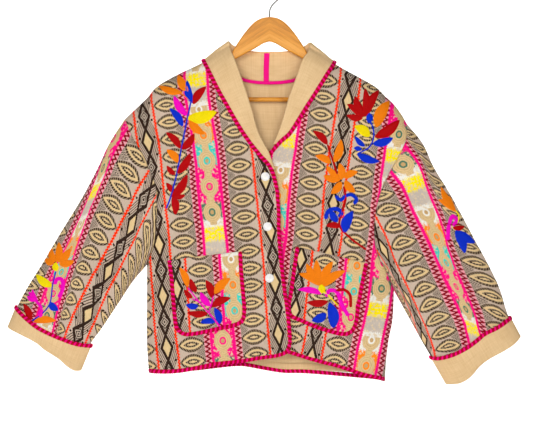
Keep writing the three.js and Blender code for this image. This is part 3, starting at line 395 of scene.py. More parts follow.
# %% One helper for shader nodes
def linear(hex_colour):
    """An sRGB hex colour as the linear colour that a shader wants."""
    channels = [int(hex_colour[i : i + 2], 16) / 255 for i in (1, 3, 5)]
    return [c / 12.92 if c <= 0.04045 else ((c + 0.055) / 1.055) ** 2.4 for c in channels] + [1.0]


def new_finish(name):
    """A material, its Principled shader and the helper that puts nodes in it."""
    material = bpy.data.materials.new(name)
    material.use_nodes = True
    tree = material.node_tree

    def put(kind, *inputs, **named):
        node = tree.nodes.new("ShaderNode" + kind) if isinstance(kind, str) else kind
        filled = list(enumerate(inputs))
        for key, value in named.items():
            if hasattr(node, key):
                setattr(node, key, value)
            else:
                filled.append((key.replace("_", " "), value))
        for key, value in filled:
            if isinstance(value, bpy.types.NodeSocket):
                tree.links.new(value, node.inputs[key])
            else:
                node.inputs[key].default_value = value
        return node.outputs[0] if node.outputs else node

    return material, tree.nodes["Principled BSDF"], put


print("node helper ready")

# %% [markdown]
# The jacquard comes first. Its pattern is mirrored about the middle of each brocade stripe, so
# `aside` is the distance from there: 0 in the brocade's middle and 112 mm in the middle of the
# diamonds. The thread places are rounded to whole stitches, which gives every motif the stepped
# edge of woven work, and a slow drift keeps the lines from being ruler straight.

# %% Striped cotton jacquard: the place of each stitch
STITCH_WIDE, STITCH_TALL = 0.8, 1.1
HALF_REPEAT = 112.0
jacquard, cloth_shader, put = new_finish("striped cotton jacquard")
threads = put("UVMap", uv_map="threads")
stitches = put("VectorMath", threads, (STITCH_WIDE, STITCH_TALL, 1.0), operation="SNAP")
split = put("SeparateXYZ", stitches)
up = split.node.outputs["Y"]
drift = put("TexNoise", threads, Scale=0.02, Detail=1.0)
drift = put("Math", drift, 4.0, -2.0, operation="MULTIPLY_ADD")
aside = put("Math", put("Math", split, drift, operation="ADD"), HALF_REPEAT, operation="PINGPONG")
print("jacquard stitch of", STITCH_WIDE, "x", STITCH_TALL, "mm")

# %% [markdown]
# Ground and ovals. The ground is greige, a warm grey beige. A column of lens shapes 50 mm wide stands
# on it, 34 mm apart, each beige with a dark dashed outline and a small dashed spindle inside.

# %% Striped cotton jacquard: ground and ovals
GREIGE, OVAL_BEIGE, DARK_BROWN, MID_BROWN = linear("#ccb5a1"), linear("#e2c48f"), linear("#33221a"), linear("#a58d72")
OVAL_MIDDLE, OVAL_HALF, OVAL_TALL, OVAL_STEP = 63.0, 25.0, 12.5, 17.0
row = put("Math", up, OVAL_STEP, operation="PINGPONG")
share = put("Math", put("Math", aside, OVAL_MIDDLE, operation="SUBTRACT"), OVAL_HALF, operation="DIVIDE")
lens = put("Math", put("Math", share, share, operation="MULTIPLY"), -OVAL_TALL, OVAL_TALL,
           operation="MULTIPLY_ADD")
beyond = put("Math", row, lens, operation="SUBTRACT")
inside = put("Math", beyond, 0.0, operation="LESS_THAN")
colour = put("MixRGB", inside, GREIGE, OVAL_BEIGE)
dashes = put("Math", put("Math", aside, 4.6, operation="DIVIDE"), put("Math", row, 9.0, operation="DIVIDE"),
             operation="ADD")
dashes = put("Math", put("Math", dashes, 1.0, operation="FRACT"), 0.36, operation="GREATER_THAN")
dash_colour = put("MixRGB", dashes, MID_BROWN, DARK_BROWN)
outline = put("Math", beyond, 0.3, 2.7, operation="COMPARE")
colour = put("MixRGB", outline, colour, dash_colour)
spindle = put("Math", put("Math", share, share, operation="MULTIPLY"), -15.0, 4.2, operation="MULTIPLY_ADD")
spindle_edge = put("Math", put("Math", row, spindle, operation="SUBTRACT"), -0.4, 1.9, operation="COMPARE")
colour = put("MixRGB", put("Math", spindle_edge, inside, operation="MULTIPLY"), colour, dash_colour)
in_gap = put("Math", beyond, 4.4, operation="GREATER_THAN")
near_zigzag = put("Math", aside, 52.0, operation="LESS_THAN")
ticks = put("Math", put("Math", aside, row, operation="ADD"), 3.6, operation="DIVIDE")
ticks = put("Math", put("Math", ticks, 1.0, operation="FRACT"), 0.5, operation="GREATER_THAN")
specks = put("Math", put("Math", in_gap, near_zigzag, operation="MULTIPLY"), ticks, operation="MULTIPLY")
colour = put("MixRGB", specks, colour, linear("#4a3a2e"))
print("ovals", 2 * OVAL_HALF, "mm wide, every", 2 * OVAL_STEP, "mm")

# %% [markdown]
# The diamonds stand one above the other up the middle of their band. Two dark strands bend in and out
# round them and close in a ringed knot halfway to the next. Thin grey-brown lines echo each diamond,
# and an orange-red wavy line bounds the band.

# %% Striped cotton jacquard: diamonds
DIAMOND_STEP, DIAMOND_TALL, DIAMOND_WIDE, BAND_EDGE = 51.0, 21.0, 8.6, 92.0
ECHO_BROWN, ORANGE_RED = linear("#5d4a3c"), linear("#ff3205")
in_band = put("Math", aside, BAND_EDGE, operation="GREATER_THAN")
off_middle = put("Math", HALF_REPEAT, aside, operation="SUBTRACT")
from_diamond = put("Math", up, DIAMOND_STEP, operation="PINGPONG")
from_knot = put("Math", DIAMOND_STEP, from_diamond, operation="SUBTRACT")
diamond = put("Math", put("Math", from_diamond, DIAMOND_TALL, operation="DIVIDE"),
              put("Math", off_middle, DIAMOND_WIDE, operation="DIVIDE"), operation="ADD")
knot = put("Math", put("Math", from_knot, 16.0, operation="DIVIDE"),
           put("Math", off_middle, 12.0, operation="DIVIDE"), operation="ADD")
echoes = put("Math", put("Math", diamond, 2.3, operation="MULTIPLY"), 1.0, operation="FRACT")
echoes = put("Math", echoes, 0.46, operation="LESS_THAN")
band = put("MixRGB", echoes, GREIGE, ECHO_BROWN)
band = put("MixRGB", put("Math", diamond, 3.3, operation="GREATER_THAN"), band, GREIGE)
rings = put("Math", put("Math", put("Math", knot, 2.7, operation="MULTIPLY"), 1.0, operation="FRACT"), 0.5,
            operation="LESS_THAN")
knot_colour = put("MixRGB", rings, linear("#c3b09c"), DARK_BROWN)
band = put("MixRGB", put("Math", knot, 1.05, operation="LESS_THAN"), band, knot_colour)
from_widest = put("Math", up, DIAMOND_STEP / 2, operation="PINGPONG")
strand_place = put("Math", from_widest, -0.42, 10.7, operation="MULTIPLY_ADD")
strand = put("Math", off_middle, strand_place, 2.8, operation="COMPARE")
band = put("MixRGB", put("Math", diamond, 1.0, operation="LESS_THAN"), band, OVAL_BEIGE)
band = put("MixRGB", strand, band, DARK_BROWN)
colour = put("MixRGB", in_band, colour, band)
tick_row = put("Math", put("Math", up, 8.0, operation="ADD"), 17.0, operation="PINGPONG")
tick_here = put("Math", put("Math", tick_row, 2.2, operation="LESS_THAN"),
                put("Math", aside, 97.4, 1.9, operation="COMPARE"), operation="MULTIPLY")
colour = put("MixRGB", tick_here, colour, DARK_BROWN)
ripple = put("Math", up, operation="SINE")
wavy = put("Math", ripple, 1.1, 91.4, operation="MULTIPLY_ADD")
wavy_line = put("Math", aside, wavy, 2.2, operation="COMPARE")
colour = put("MixRGB", wavy_line, colour, ORANGE_RED)
print("diamonds every", 2 * DIAMOND_STEP, "mm")

# %% [markdown]
# Next to the brocade comes a zigzag band, dark red on pale pink, and a scalloped hot-pink line.

# %% Striped cotton jacquard: zigzag and pink line
ZIGZAG_STEP, ZIGZAG_EDGE = 4.75, 37.5
zigzag_band = put("Math", aside, ZIGZAG_EDGE, operation="LESS_THAN")
colour = put("MixRGB", zigzag_band, colour, linear("#eea0aa"))
swing = put("Math", put("Math", up, ZIGZAG_STEP, operation="PINGPONG"), 1.9, 26.6, operation="MULTIPLY_ADD")
zigzag = put("Math", put("Math", aside, swing, 3.5, operation="COMPARE"), zigzag_band, operation="MULTIPLY")
colour = put("MixRGB", zigzag, colour, linear("#8e0b1e"))
scallop = put("Math", put("Math", up, 1.34, operation="MULTIPLY"), operation="SINE")
scallop = put("Math", scallop, 0.8, 22.8, operation="MULTIPLY_ADD")
pink_line = put("Math", aside, scallop, 3.0, operation="COMPARE")
print("zigzag of", 2 * ZIGZAG_STEP, "mm")

# %% [markdown]
# The brocade's side colours change along the stripe. Their borders are feathered like tie-dyed yarn,
# so the place is jittered thread by thread before it picks a colour. A chain of beige medallions
# covers the middle, and stops at the yellow and greige patches.

# %% Striped cotton jacquard: brocade
BROCADE_REPEAT, BROCADE_HALF, MEDALLION_STEP, PATCH_START = 306.0, 21.5, 25.5, 9.0
feather = put("VectorMath", stitches, (0.9, 0.035, 1.0), operation="MULTIPLY")
feather = put("TexNoise", feather, Scale=1.0, Detail=2.0)
shifted = put("Math", feather, 26.0, put("Math", up, -4.0, operation="ADD"), operation="MULTIPLY_ADD")
phase = put("Math", put("Math", shifted, BROCADE_REPEAT, operation="DIVIDE"), 1.0, operation="FLOORED_MODULO")
side_colours = put("ValToRGB", phase)
SIDE_COLOURS = [(0.0, "#ffe600"), (0.046, "#cbbcae"), (0.144, "#efe9de"), (0.268, "#ff8a1e"), (0.41, "#3ccdbd"),
                (0.556, "#ff1282"),
                (0.80, "#4f7a63"), (0.90, "#efe9de"), (0.954, "#ffe600")]
ramp = side_colours.node.color_ramp
ramp.interpolation = "CONSTANT"
for place, name in SIDE_COLOURS[2:]:
    ramp.elements.new(place)
for element, (place, name) in zip(ramp.elements, SIDE_COLOURS):
    element.position, element.color = place, linear(name)
mottle = put("TexNoise", stitches, Scale=0.16, Detail=3.0)
flecks = put("Math", mottle, 0.56, operation="GREATER_THAN")
brocade = put("MixRGB", put("Math", flecks, 0.8, operation="MULTIPLY"), side_colours, linear("#e4cda6"))
from_medallion = put("Math", up, MEDALLION_STEP, operation="PINGPONG")
wide = put("Math", aside, 17.5, operation="DIVIDE")
tall = put("Math", from_medallion, 20.5, operation="DIVIDE")
reach = put("Math", put("Math", wide, wide, operation="MULTIPLY"),
            put("Math", tall, tall, operation="MULTIPLY"), operation="ADD")
neck = put("Math", put("Math", aside, 7.0, operation="LESS_THAN"), 1.2, operation="MULTIPLY")
chain = put("Math", put("Math", reach, neck, operation="SUBTRACT"), 1.0, operation="LESS_THAN")
patch = put("Math", put("Math", put("Math", up, PATCH_START, operation="ADD"), BROCADE_REPEAT,
                        operation="DIVIDE"), 1.0, operation="FLOORED_MODULO")
off_patch = put("Math", put("Math", patch, 0.56, 0.385, operation="COMPARE"), chain, operation="MULTIPLY")
circles = put("Math", put("Math", put("Math", reach, 3.2, operation="MULTIPLY"), 1.0, operation="FRACT"), 0.24,
              operation="LESS_THAN")
medallion = put("MixRGB", circles, linear("#dfc08c"), linear("#c9a36c"))
eye = put("Math", reach, 0.10, 0.055, operation="COMPARE")
medallion = put("MixRGB", eye, medallion, side_colours)
brocade = put("MixRGB", off_patch, brocade, medallion)
dots = put("Math", put("Math", put("Math", aside, 3.2, operation="PINGPONG"),
                       put("Math", up, 3.2, operation="PINGPONG"), operation="ADD"), 1.5, operation="LESS_THAN")
in_yellow = put("Math", put("Math", patch, 0.5, 0.455, operation="COMPARE"), 0.5, operation="LESS_THAN")
brocade = put("MixRGB", put("Math", dots, in_yellow, operation="MULTIPLY"), brocade, linear("#e8cf9c"))
in_brocade = put("Math", aside, BROCADE_HALF, operation="LESS_THAN")
colour = put("MixRGB", in_brocade, colour, brocade)
colour = put("MixRGB", pink_line, colour, linear("#ff0f80"))
print("brocade repeat", BROCADE_REPEAT, "mm, medallions every", 2 * MEDALLION_STEP, "mm")

# %% [markdown]
# Cotton yarn is never quite even, so each yarn is a little lighter or darker than the next. The real
# ribs are 0.5 mm apart, too fine to show, so they are drawn 2.2 mm apart and very shallow.

# %% Striped cotton jacquard: yarn and ribs
RIB = 2.2
yarns = put("VectorMath", threads, (0.9, 0.11, 1.0), operation="MULTIPLY")
yarns = put("TexNoise", yarns, Scale=1.0, Detail=3.0)
shade = put("MapRange", yarns, From_Min=0.25, From_Max=0.75, To_Min=0.84, To_Max=1.12)
wear = put("TexNoise", threads, Scale=0.012, Detail=3.0)
shade = put("Math", shade, put("MapRange", wear, From_Min=0.3, From_Max=0.7, To_Min=0.93, To_Max=1.04),
            operation="MULTIPLY")
colour = put("VectorMath", colour, put("CombineXYZ", shade, shade, shade), operation="MULTIPLY")
rib_place = put("SeparateXYZ", threads)
ribs = put("Math", put("Math", rib_place.node.outputs["Y"], math.tau / RIB, operation="MULTIPLY"),
           operation="SINE")
raised = put("Math", ribs, 0.25, yarns, operation="MULTIPLY_ADD")
raised = put("Math", put("Math", outline, zigzag, operation="ADD"), 0.5, raised, operation="MULTIPLY_ADD")
relief = put("Bump", Strength=0.5, Distance=0.35 * MM, Height=raised)
put(cloth_shader, Base_Color=colour, Normal=relief, Roughness=0.9, Specular_IOR_Level=0.12)
print("ribs", RIB, "mm apart")

# %% [markdown]
# The collar, the cuffs and the lining are plain-woven beige cotton. Thicker places in the yarn, called
# slubs, show as faint level and upright streaks. The weave's 0.4 mm pitch is drawn at 1.4 mm.

# %% Beige plain-weave cotton
WEAVE = 1.4
beige_cotton, cotton_shader, put = new_finish("beige plain-weave cotton")
threads = put("UVMap", uv_map="threads")
split = put("SeparateXYZ", threads)
warp = put("Math", put("Math", split, math.pi / WEAVE, operation="MULTIPLY"), operation="SINE")
weft = put("Math", put("Math", split.node.outputs["Y"], math.pi / WEAVE, operation="MULTIPLY"),
           operation="SINE")
weave = put("Math", warp, weft, operation="MULTIPLY")
level_slubs = put("TexNoise", put("VectorMath", threads, (0.03, 0.55, 1.0), operation="MULTIPLY"), Scale=1.0,
                  Detail=3.0)
upright_slubs = put("TexNoise", put("VectorMath", threads, (0.5, 0.025, 1.0), operation="MULTIPLY"), Scale=1.0,
                    Detail=3.0)
slubs = put("Math", level_slubs, upright_slubs, operation="ADD")
cloudy = put("TexNoise", threads, Scale=0.015, Detail=2.0)
tone = put("Math", slubs, 0.6, put("Math", cloudy, 0.5, operation="MULTIPLY"), operation="MULTIPLY_ADD")
tone = put("MapRange", tone, From_Min=0.6, From_Max=1.1)
beige = put("MixRGB", tone, linear("#d8b280"), linear("#eccb9a"))
raised = put("Math", weave, 0.3, slubs, operation="MULTIPLY_ADD")
relief = put("Bump", Strength=0.4, Distance=0.3 * MM, Height=raised)
put(cotton_shader, Base_Color=beige, Normal=relief, Roughness=0.9, Specular_IOR_Level=0.2)
print("weave pitch", WEAVE, "mm")

# %% [markdown]
# The edging is crocheted from two cotton yarns in turn, bright pink and crimson. Each stitch is a rounded lump with a
# groove beside it, and its twisted strands run slantwise. The yarn is darkened in the grooves and between the strands
# with painted shade.

# %% Two-colour crochet
crochet, crochet_shader, put = new_finish("crocheted cotton, pink and crimson")
split = put("SeparateXYZ", put("UVMap", uv_map="threads"))
turn = put("Math", put("Math", split, math.tau, operation="MULTIPLY"), operation="COSINE")
stitch_place = put("Math", turn, 0.28, split.node.outputs["Y"], operation="MULTIPLY_ADD")
second = put("Math", put("Math", stitch_place, 2.0, operation="FLOORED_MODULO"), 1.0, operation="GREATER_THAN")
yarn = put("MixRGB", second, linear("#fb0c7c"), linear("#b80424"))
hump = put("Math", put("Math", put("Math", stitch_place, math.pi, operation="MULTIPLY"), operation="SINE"),
           operation="ABSOLUTE")
strands = put("Math", put("Math", split, 7.0, operation="MULTIPLY"),
              put("Math", stitch_place, 1.5, operation="MULTIPLY"), operation="ADD")
strands = put("Math", put("Math", strands, math.tau, operation="MULTIPLY"), operation="SINE")
# painted shade: the yarn colour is darkened in the grooves between stitches and between the twisted strands
light = put("Math", put("MapRange", hump, From_Max=0.5, To_Min=0.5),
            put("MapRange", strands, From_Min=-1.0, To_Min=0.84, To_Max=1.08), operation="MULTIPLY")
yarn = put("VectorMath", yarn, put("CombineXYZ", light, light, light), operation="MULTIPLY")
relief = put("Bump", Strength=0.6, Distance=0.4 * MM, Height=strands)
put(crochet_shader, Base_Color=yarn, Normal=relief, Roughness=0.85, Specular_IOR_Level=0.06)
print("crochet ready")

# %% [markdown]
# The neck tape is matt pink cotton cut on the bias, so its fine weave runs slantwise. Its pink is lighter on the
# raised threads and darker between them, as painted light and shade.

# %% Pink bias tape
bias_tape, tape_shader, put = new_finish("pink cotton bias tape")
split = put("SeparateXYZ", put("UVMap", uv_map="threads"))
slant = put("Math", put("Math", split, split.node.outputs["Y"], operation="ADD"), math.tau / 1.2,
            operation="MULTIPLY")
other = put("Math", put("Math", split, split.node.outputs["Y"], operation="SUBTRACT"), math.tau / 1.2,
            operation="MULTIPLY")
weave = put("Math", put("Math", slant, operation="SINE"), put("Math", other, operation="SINE"),
            operation="MULTIPLY")
# painted light and shade: the lighter pink falls on the raised threads of the weave, the darker pink between them
pink = put("MixRGB", put("MapRange", weave, From_Min=-1.0), linear("#f4007c"), linear("#ff0a96"))
relief = put("Bump", Strength=0.4, Distance=0.2 * MM, Height=weave)
put(tape_shader, Base_Color=pink, Normal=relief, Roughness=0.8, Specular_IOR_Level=0.2)
print("bias tape ready")

# %% [markdown]
# The body is three panels: a back in one piece and two fronts. Each front runs from its own front
# edge to the side seam, and its neck edge lies under the collar's roll.

# %% Body panels
def body_plans(part):
    side = part["side"]
    edging = plan_curve(part["front_edge"] + part["front_hem"][1:])
    corner = plan(*part["front_hem"][0])
    corner_share = nearest_share(edging, corner, 400)
    cloth_edge = moved_sideways(edging, side * EDGING_REACH)

    def front_hem(u):
        return cloth_edge(corner_share + u * (1 - corner_share))

    neck_point = plan(side * part["shoulder"][0][0], part["shoulder"][0][1])
    neck_edge = []
    for roll_x, roll_z, edge_x, edge_z in part["lapel"][3:]:
        leg = plan(edge_x - roll_x, edge_z - roll_z).normalized()
        neck_edge.append(plan(roll_x, roll_z) + leg * (ROLL_RADIUS + LINING / 2))
    front_edge = [cloth_edge(i / 400 * corner_share) for i in range(15, 401, 25)]
    inner = curve_through([neck_point, *neck_edge, *front_edge, front_hem(0)])
    shoulder = side_curve(part, part["shoulder"])
    armhole = side_curve(part, part["armhole"])
    outer = joined(armhole, side_curve(part, part["side_seam"]), ARMHOLE_PART)
    back_neck = curve_through(on_side(part, BACK_NECK[:-1]) + [neck_point])
    back_top = joined(back_neck, shoulder, NECK_PART)
    hem_line = plan_curve(part["back_hem"])
    back_hem = moved_sideways(hem_line, side * EDGING_REACH)
    top_middle, low_middle = plan(0, BACK_NECK[0][1]), plan(0, back_hem(0).z)
    return {
        "front": between(lambda v: inner(v + 0.45 * v * (1 - v)), outer, shoulder, front_hem),
        "back": between(lambda v: top_middle.lerp(low_middle, v), outer, back_top, back_hem),
        "edging": edging,
        "armhole": armhole,
        "back_hem": hem_line,
    }


for part in (RIGHT, LEFT):
    part["plans"] = body_plans(part)

# How far each stripe of the fronts leans from the upright, by height
LEAN = {
    -1: look_up([(-182, -30), (-226, -28), (-276, -20), (-346, -9), (-436, 0), (-540, 11), (-686, 21),
                 (-756, 28)]),
    1: look_up([(-172, 36), (-232, 29), (-304, 18), (-342, 12), (-376, 7), (-436, 0), (-506, -5), (-546, -11),
                (-632, -20), (-696, -34), (-750, -45)]),
}
# x of a brocade stripe's middle at z = -436, and z where a yellow patch has its middle
STRIPE_X = {-1: -117, 1: 15}
YELLOW_Z = {-1: -196, 1: -316}
# How far the woven rows tilt, because they stay square to the leaning stripes
ROW_TILT = {-1: 0.12, 1: -0.14}
BACK_LEAN, BACK_STRIPE_X, BACK_ROW_Z = 0.03, 40, -240


def closer_outwards(share):
    """Lays the columns of the grid closer together near the side seam, where the cloth turns."""
    return 1 - (1 - share) ** 1.6


def front_threads(part):
    side = part["side"]

    def threads(u, v):
        spot = part["plans"]["front"](closer_outwards(u), v)
        aside = spot.x - LEAN[side](spot.z) - STRIPE_X[side]
        return aside, YELLOW_Z[side] - spot.z - PATCH_START + ROW_TILT[side] * aside

    return threads


def front_place(part):
    def place(u, v):
        spot = part["plans"]["front"](closer_outwards(u), v)
        spot.y = -max(body_depth(part, -1, spot.x, spot.z), SEAM / 2)
        return spot

    return place


def back_spot(u, v):
    part = RIGHT if u < 0.5 else LEFT
    share = abs(2 * u - 1)
    return part, part["plans"]["back"](closer_outwards(share), v)


def back_place(u, v):
    part, spot = back_spot(u, v)
    spot.y = max(body_depth(part, 1, spot.x, spot.z), SEAM / 2)
    return spot


def back_threads(u, v):
    _, spot = back_spot(u, v)
    return spot.x + BACK_LEAN * spot.z + BACK_STRIPE_X, BACK_ROW_Z - spot.z


def lining_place(u, v):
    part, spot = back_spot(mix(0.05, 0.95, u), mix(0.002, 0.975, v))
    spot.y = max(body_depth(part, 1, spot.x, spot.z, folds=False) - 8 * smooth(-spot.z, 196, 230) - 3.2, 1)
    return spot


fronts = {}
for name, part in SIDES:
    piece = grid_piece("front_" + name + "_cloth", 110, 190, front_place(part), front_threads(part), (0, -1, 0))
    fronts[part["side"]] = dress(piece, ["front_" + name], [jacquard, beige_cotton], CLOTH)
    declare_sheet(piece, 350, 660, ["hanger_" + name])
back = grid_piece("back_cloth", 150, 160, back_place, back_threads, (0, 1, 0))
dress(back, ["back"], [jacquard, beige_cotton], CLOTH)
declare_sheet(back, 620, 660, ["hanger_right", "hanger_left"])
lining = grid_piece("back_lining_cloth", 60, 60, lining_place, lambda u, v: (500 * u, 600 * v), (0, -1, 0))
dress(lining, ["back_lining"], [beige_cotton], 0.9)
declare_sheet(lining, 560, 620, ["hanger_right", "hanger_left"])

# %% [markdown]
# A sleeve is a tube that hangs flat, so it is round at its two edges and nearly flat between. At
# the armhole it takes the body's own depth, and the seam there is a narrow dark line.

# %% Sleeves
def tube_profile(w):
    return math.sqrt(max(0.0, 1 - abs(2 * w - 1) ** 2.6))


def ring_share(around):
    """Share across the sleeve for a share round it, and the face it lies on."""
    if around <= 0.5:
        return 0.5 - 0.5 * math.cos(2 * math.pi * around), -1
    return 0.5 - 0.5 * math.cos(2 * math.pi * (1 - around)), 1


def arc_length(width, depth, w, steps=24):
    """Length round the section from the sleeve's upper edge."""
    total, last = 0.0, (0.0, 0.0)
    for step in range(1, steps + 1):
        across = w * (0.5 - 0.5 * math.cos(math.pi * step / steps))
        point = (across * width, depth * tube_profile(across))
        total += math.dist(point, last)
        last = point
    return total


def sleeve_plan(part):
    armhole = part["plans"]["armhole"]
    side = part["side"]

    def start(w):
        along = heading(armhole, w, 0.004)
        return armhole(w) + Vector((-along.z * side, 0, along.x * side)) * SEAM

    top = curve_through([start(0), *on_side(part, part["sleeve_top"])[1:]])
    under = curve_through([start(1), *on_side(part, part["sleeve_under"])[1:]])
    inside = [(out - 5, z + CUFF_SET_BACK) for out, z in part["cuff_fold"][1:-1]]
    ends = [part["sleeve_top"][-1], *inside, part["sleeve_under"][-1]]
    return between(top, under, start, side_curve(part, ends))


for part in (RIGHT, LEFT):
    part["sleeve_plan"] = sleeve_plan(part)


def sleeve_place(part):
    armhole = part["plans"]["armhole"]

    def place(around, length):
        w, face = ring_share(around)
        spot = part["sleeve_plan"](w, length)
        seam = armhole(w)
        at_seam = max(body_depth(part, face, seam.x, seam.z), 0) if 0 < w < 1 else 0
        folds = fold_height(face, spot.x, spot.z)
        fade = smooth(length, 0, 0.1) * (1 - smooth(length, 0.72, 0.86)) * tube_profile(w)
        tuck = 1.2 * math.exp(-((length / 0.02) ** 2)) * tube_profile(w)
        depth = mix(at_seam, SLEEVE_DEPTH * tube_profile(w), smooth(length, 0, 0.25)) + folds * fade - tuck
        spot.y = face * max(depth, 0)
        return spot

    return place


# Where each stripe lies: its place in the pattern, then how far round the sleeve from its upper
# edge it lies at some shares of the sleeve's length. All are in millimetres.
STRIPES = {
    -1: [
        (-37, [(0, -39), (0.2, -7), (0.284, 2), (0.44, 13), (0.575, 20), (0.693, 22), (0.764, 26), (1, 44)]),
        (-25, [(0, -30), (0.2, 2), (0.284, 11), (0.44, 22), (0.575, 29), (0.693, 31), (0.764, 36), (1, 55)]),
        (25, [(0, 22), (0.242, 29), (0.369, 33), (0.477, 43), (0.608, 56), (0.741, 70), (0.875, 88), (1, 104)]),
        (37, [(0, 36), (0.242, 40), (0.369, 44), (0.477, 54), (0.608, 65), (0.741, 80), (0.875, 98), (1, 112)]),
        (63, [(0, 75), (0.461, 74), (0.613, 78), (0.765, 88), (1, 108)]),
        (91.5, [(0, 113), (0.167, 111), (0.319, 105), (0.669, 106), (0.872, 116), (1, 124)]),
        (112, [(0, 136), (0.449, 137), (0.841, 143), (1, 146)]),
        (132.5, [(0, 164), (0.129, 170), (0.394, 161), (0.55, 159), (0.783, 166), (1, 170)]),
        (161, [(0, 190), (0.15, 207), (1, 204)]),
        (178, [(0, 303), (0.15, 274), (0.3, 245), (0.5, 222), (1, 222)]),
    ],
    1: [
        (-91.5, [(0, -6), (1, -4)]),
        (-63, [(0, 22), (1, 28)]),
        (-31, [(0, 34), (0.212, 39), (0.427, 54), (0.51, 61), (0.735, 65), (1, 66)]),
        (-23, [(0, 41), (0.187, 45), (0.385, 57), (0.475, 66), (0.705, 73), (1, 74)]),
        (23, [(0, 100), (0.235, 95), (0.583, 96), (1, 101)]),
        (31, [(0, 110), (0.3, 108), (1, 112)]),
        (63, [(0, 149), (1, 152)]),
        (91.5, [(0, 188), (0.15, 197), (1, 204)]),
        (132.5, [(0, 252), (1, 262)]),
    ],
}
# How fast the pattern runs on round the sleeve beyond the first and the last of these stripes
SLOPE_BEYOND = 0.9
# Rows of the pattern: how many millimetres of it the sleeve's length takes, and where it starts
ROWS = {-1: (425, -90), 1: (435, -67)}


def row_tilt(side, place, length):
    """How far the rows slant across the sleeve, so that they stay square to the stripes."""
    if side < 0:
        return mix(0.45, 0.2, smooth(length, 0.5, 1)) * (place - HALF_REPEAT)
    brocade = clamp(place, -23, 23)
    return 0.7 * brocade + 1.3 * (place - brocade)


def sleeve_threads(part):
    side = part["side"]
    stripes = [(place, look_up(pairs)) for place, pairs in STRIPES[side]]
    whole, start = ROWS[side]

    def threads(around, length):
        w, face = ring_share(around)
        if around > 0.9999 or around < 0.0001:
            w = 0.0
        width = (part["sleeve_plan"](0, length) - part["sleeve_plan"](1, length)).length
        arc = -face * arc_length(width, SLEEVE_DEPTH, w)
        knots = [(place, at(length)) for place, at in stripes]
        after = next((i for i, (_, far) in enumerate(knots) if far > arc), len(knots) - 1)
        (place_a, arc_a), (place_b, arc_b) = knots[max(after, 1) - 1], knots[max(after, 1)]
        between_knots = knots[0][1] <= arc <= knots[-1][1]
        slope = (place_b - place_a) / (arc_b - arc_a) if between_knots else SLOPE_BEYOND
        base, from_arc = (place_a, arc_a) if arc <= arc_b else (place_b, arc_b)
        place = base + slope * (arc - from_arc)
        return place, whole * length + start + row_tilt(side, place, length)

    return threads


SLEEVE_CUTS = {"right": (430, 440), "left": (450, 490)}
sleeves = {}
for name, part in SIDES:
    piece = grid_piece("sleeve_" + name + "_cloth", 96, 150, sleeve_place(part), sleeve_threads(part),
                       wrap=True)
    sleeves[part["side"]] = dress(piece, ["sleeve_" + name], [jacquard, beige_cotton], CLOTH)
    declare_sheet(piece, *SLEEVE_CUTS[name], ["front_" + name + "_cloth"])

# %% [markdown]
# The sleeve ends are turned back and show the plain lining cloth. Each is a wider tube outside the
# sleeve that curls in under the sleeve's edge.

# %% Turned-back cuffs
def cuff_place(part):
    top = side_curve(part, part["cuff_top"])
    fold = side_curve(part, part["cuff_fold"])

    def run(start, end):
        return lambda t: start.lerp(end, t)

    sheet = between(run(top(0), fold(0)), run(top(1), fold(1)), top, fold)
    tuck = look_up([(0, 0), (0.9, 0), (0.95, 0.35), (0.985, 1.4), (1, 4.4)])

    def place(around, length):
        w, face = ring_share(around)
        spot = sheet(w, length)
        inward = tuck(length) if length > 0.9 else 0
        towards = sheet(0.5, length) - spot
        if towards.length > 1e-6:
            spot += towards.normalized() * inward * abs(2 * w - 1) ** 2
        crease = 0.7 * math.sin(9 * w + 4 * length + face) * math.sin(3.1 * length) * tube_profile(w)
        depth = (SLEEVE_DEPTH + CUFF_STAND_OFF - inward) * tube_profile(w) + crease
        spot.y = face * max(depth, 0)
        return spot

    return place


CUFF_CUTS = {"right": (360, 56), "left": (385, 64)}
for name, part in SIDES:
    piece = grid_piece("cuff_" + name + "_cloth", 84, 26, cuff_place(part), lambda u, v: (400 * u, 60 * v),
                       wrap=True)
    dress(piece, ["cuff_" + name], [beige_cotton], LINING)
    declare_sheet(piece, *CUFF_CUTS[name], ["sleeve_" + name + "_cloth"])

# %% [markdown]
# The shawl collar rises from the neck seam inside, rolls over and falls outside. It is worked out
# station by station: where it rolls, where its outer edge lies, and where it is sewn inside. The
# fall rests on the body, so each of its points is kept just outside the body's surface.

# %% The collar
def lies_over(part, face, x, z, lift):
    """A point over the body's outer face, and the direction out of the cloth there."""
    step = 1.0
    depth = body_depth(part, face, x, z)
    slope_x = (body_depth(part, face, x + step, z) - body_depth(part, face, x - step, z)) / (2 * step)
    slope_z = (body_depth(part, face, x, z + step) - body_depth(part, face, x, z - step)) / (2 * step)
    normal = Vector((-slope_x, face, -slope_z)).normalized()
    return Vector((x, face * depth, z)) + normal * lift, normal


def clear_of_body(part, point, lift):
    face = -1 if point.y < 0 else 1
    depth = max(body_depth(part, face, point.x, z) for z in (point.z, point.z - lift))
    if part["side"] * point.x > 0 and part["shoulder_z"](part["side"] * point.x) > point.z - lift:
        point.y = face * max(abs(point.y), depth + lift)
    return point


def through_vectors(vectors):
    """Smooth through vectors, read by their place in the list."""
    readers = [look_up([(i, vector[axis]) for i, vector in enumerate(vectors)]) for axis in range(3)]
    return lambda t: Vector([read(t) for read in readers])


COLLAR_LIFT = 0.8 + LINING / 2


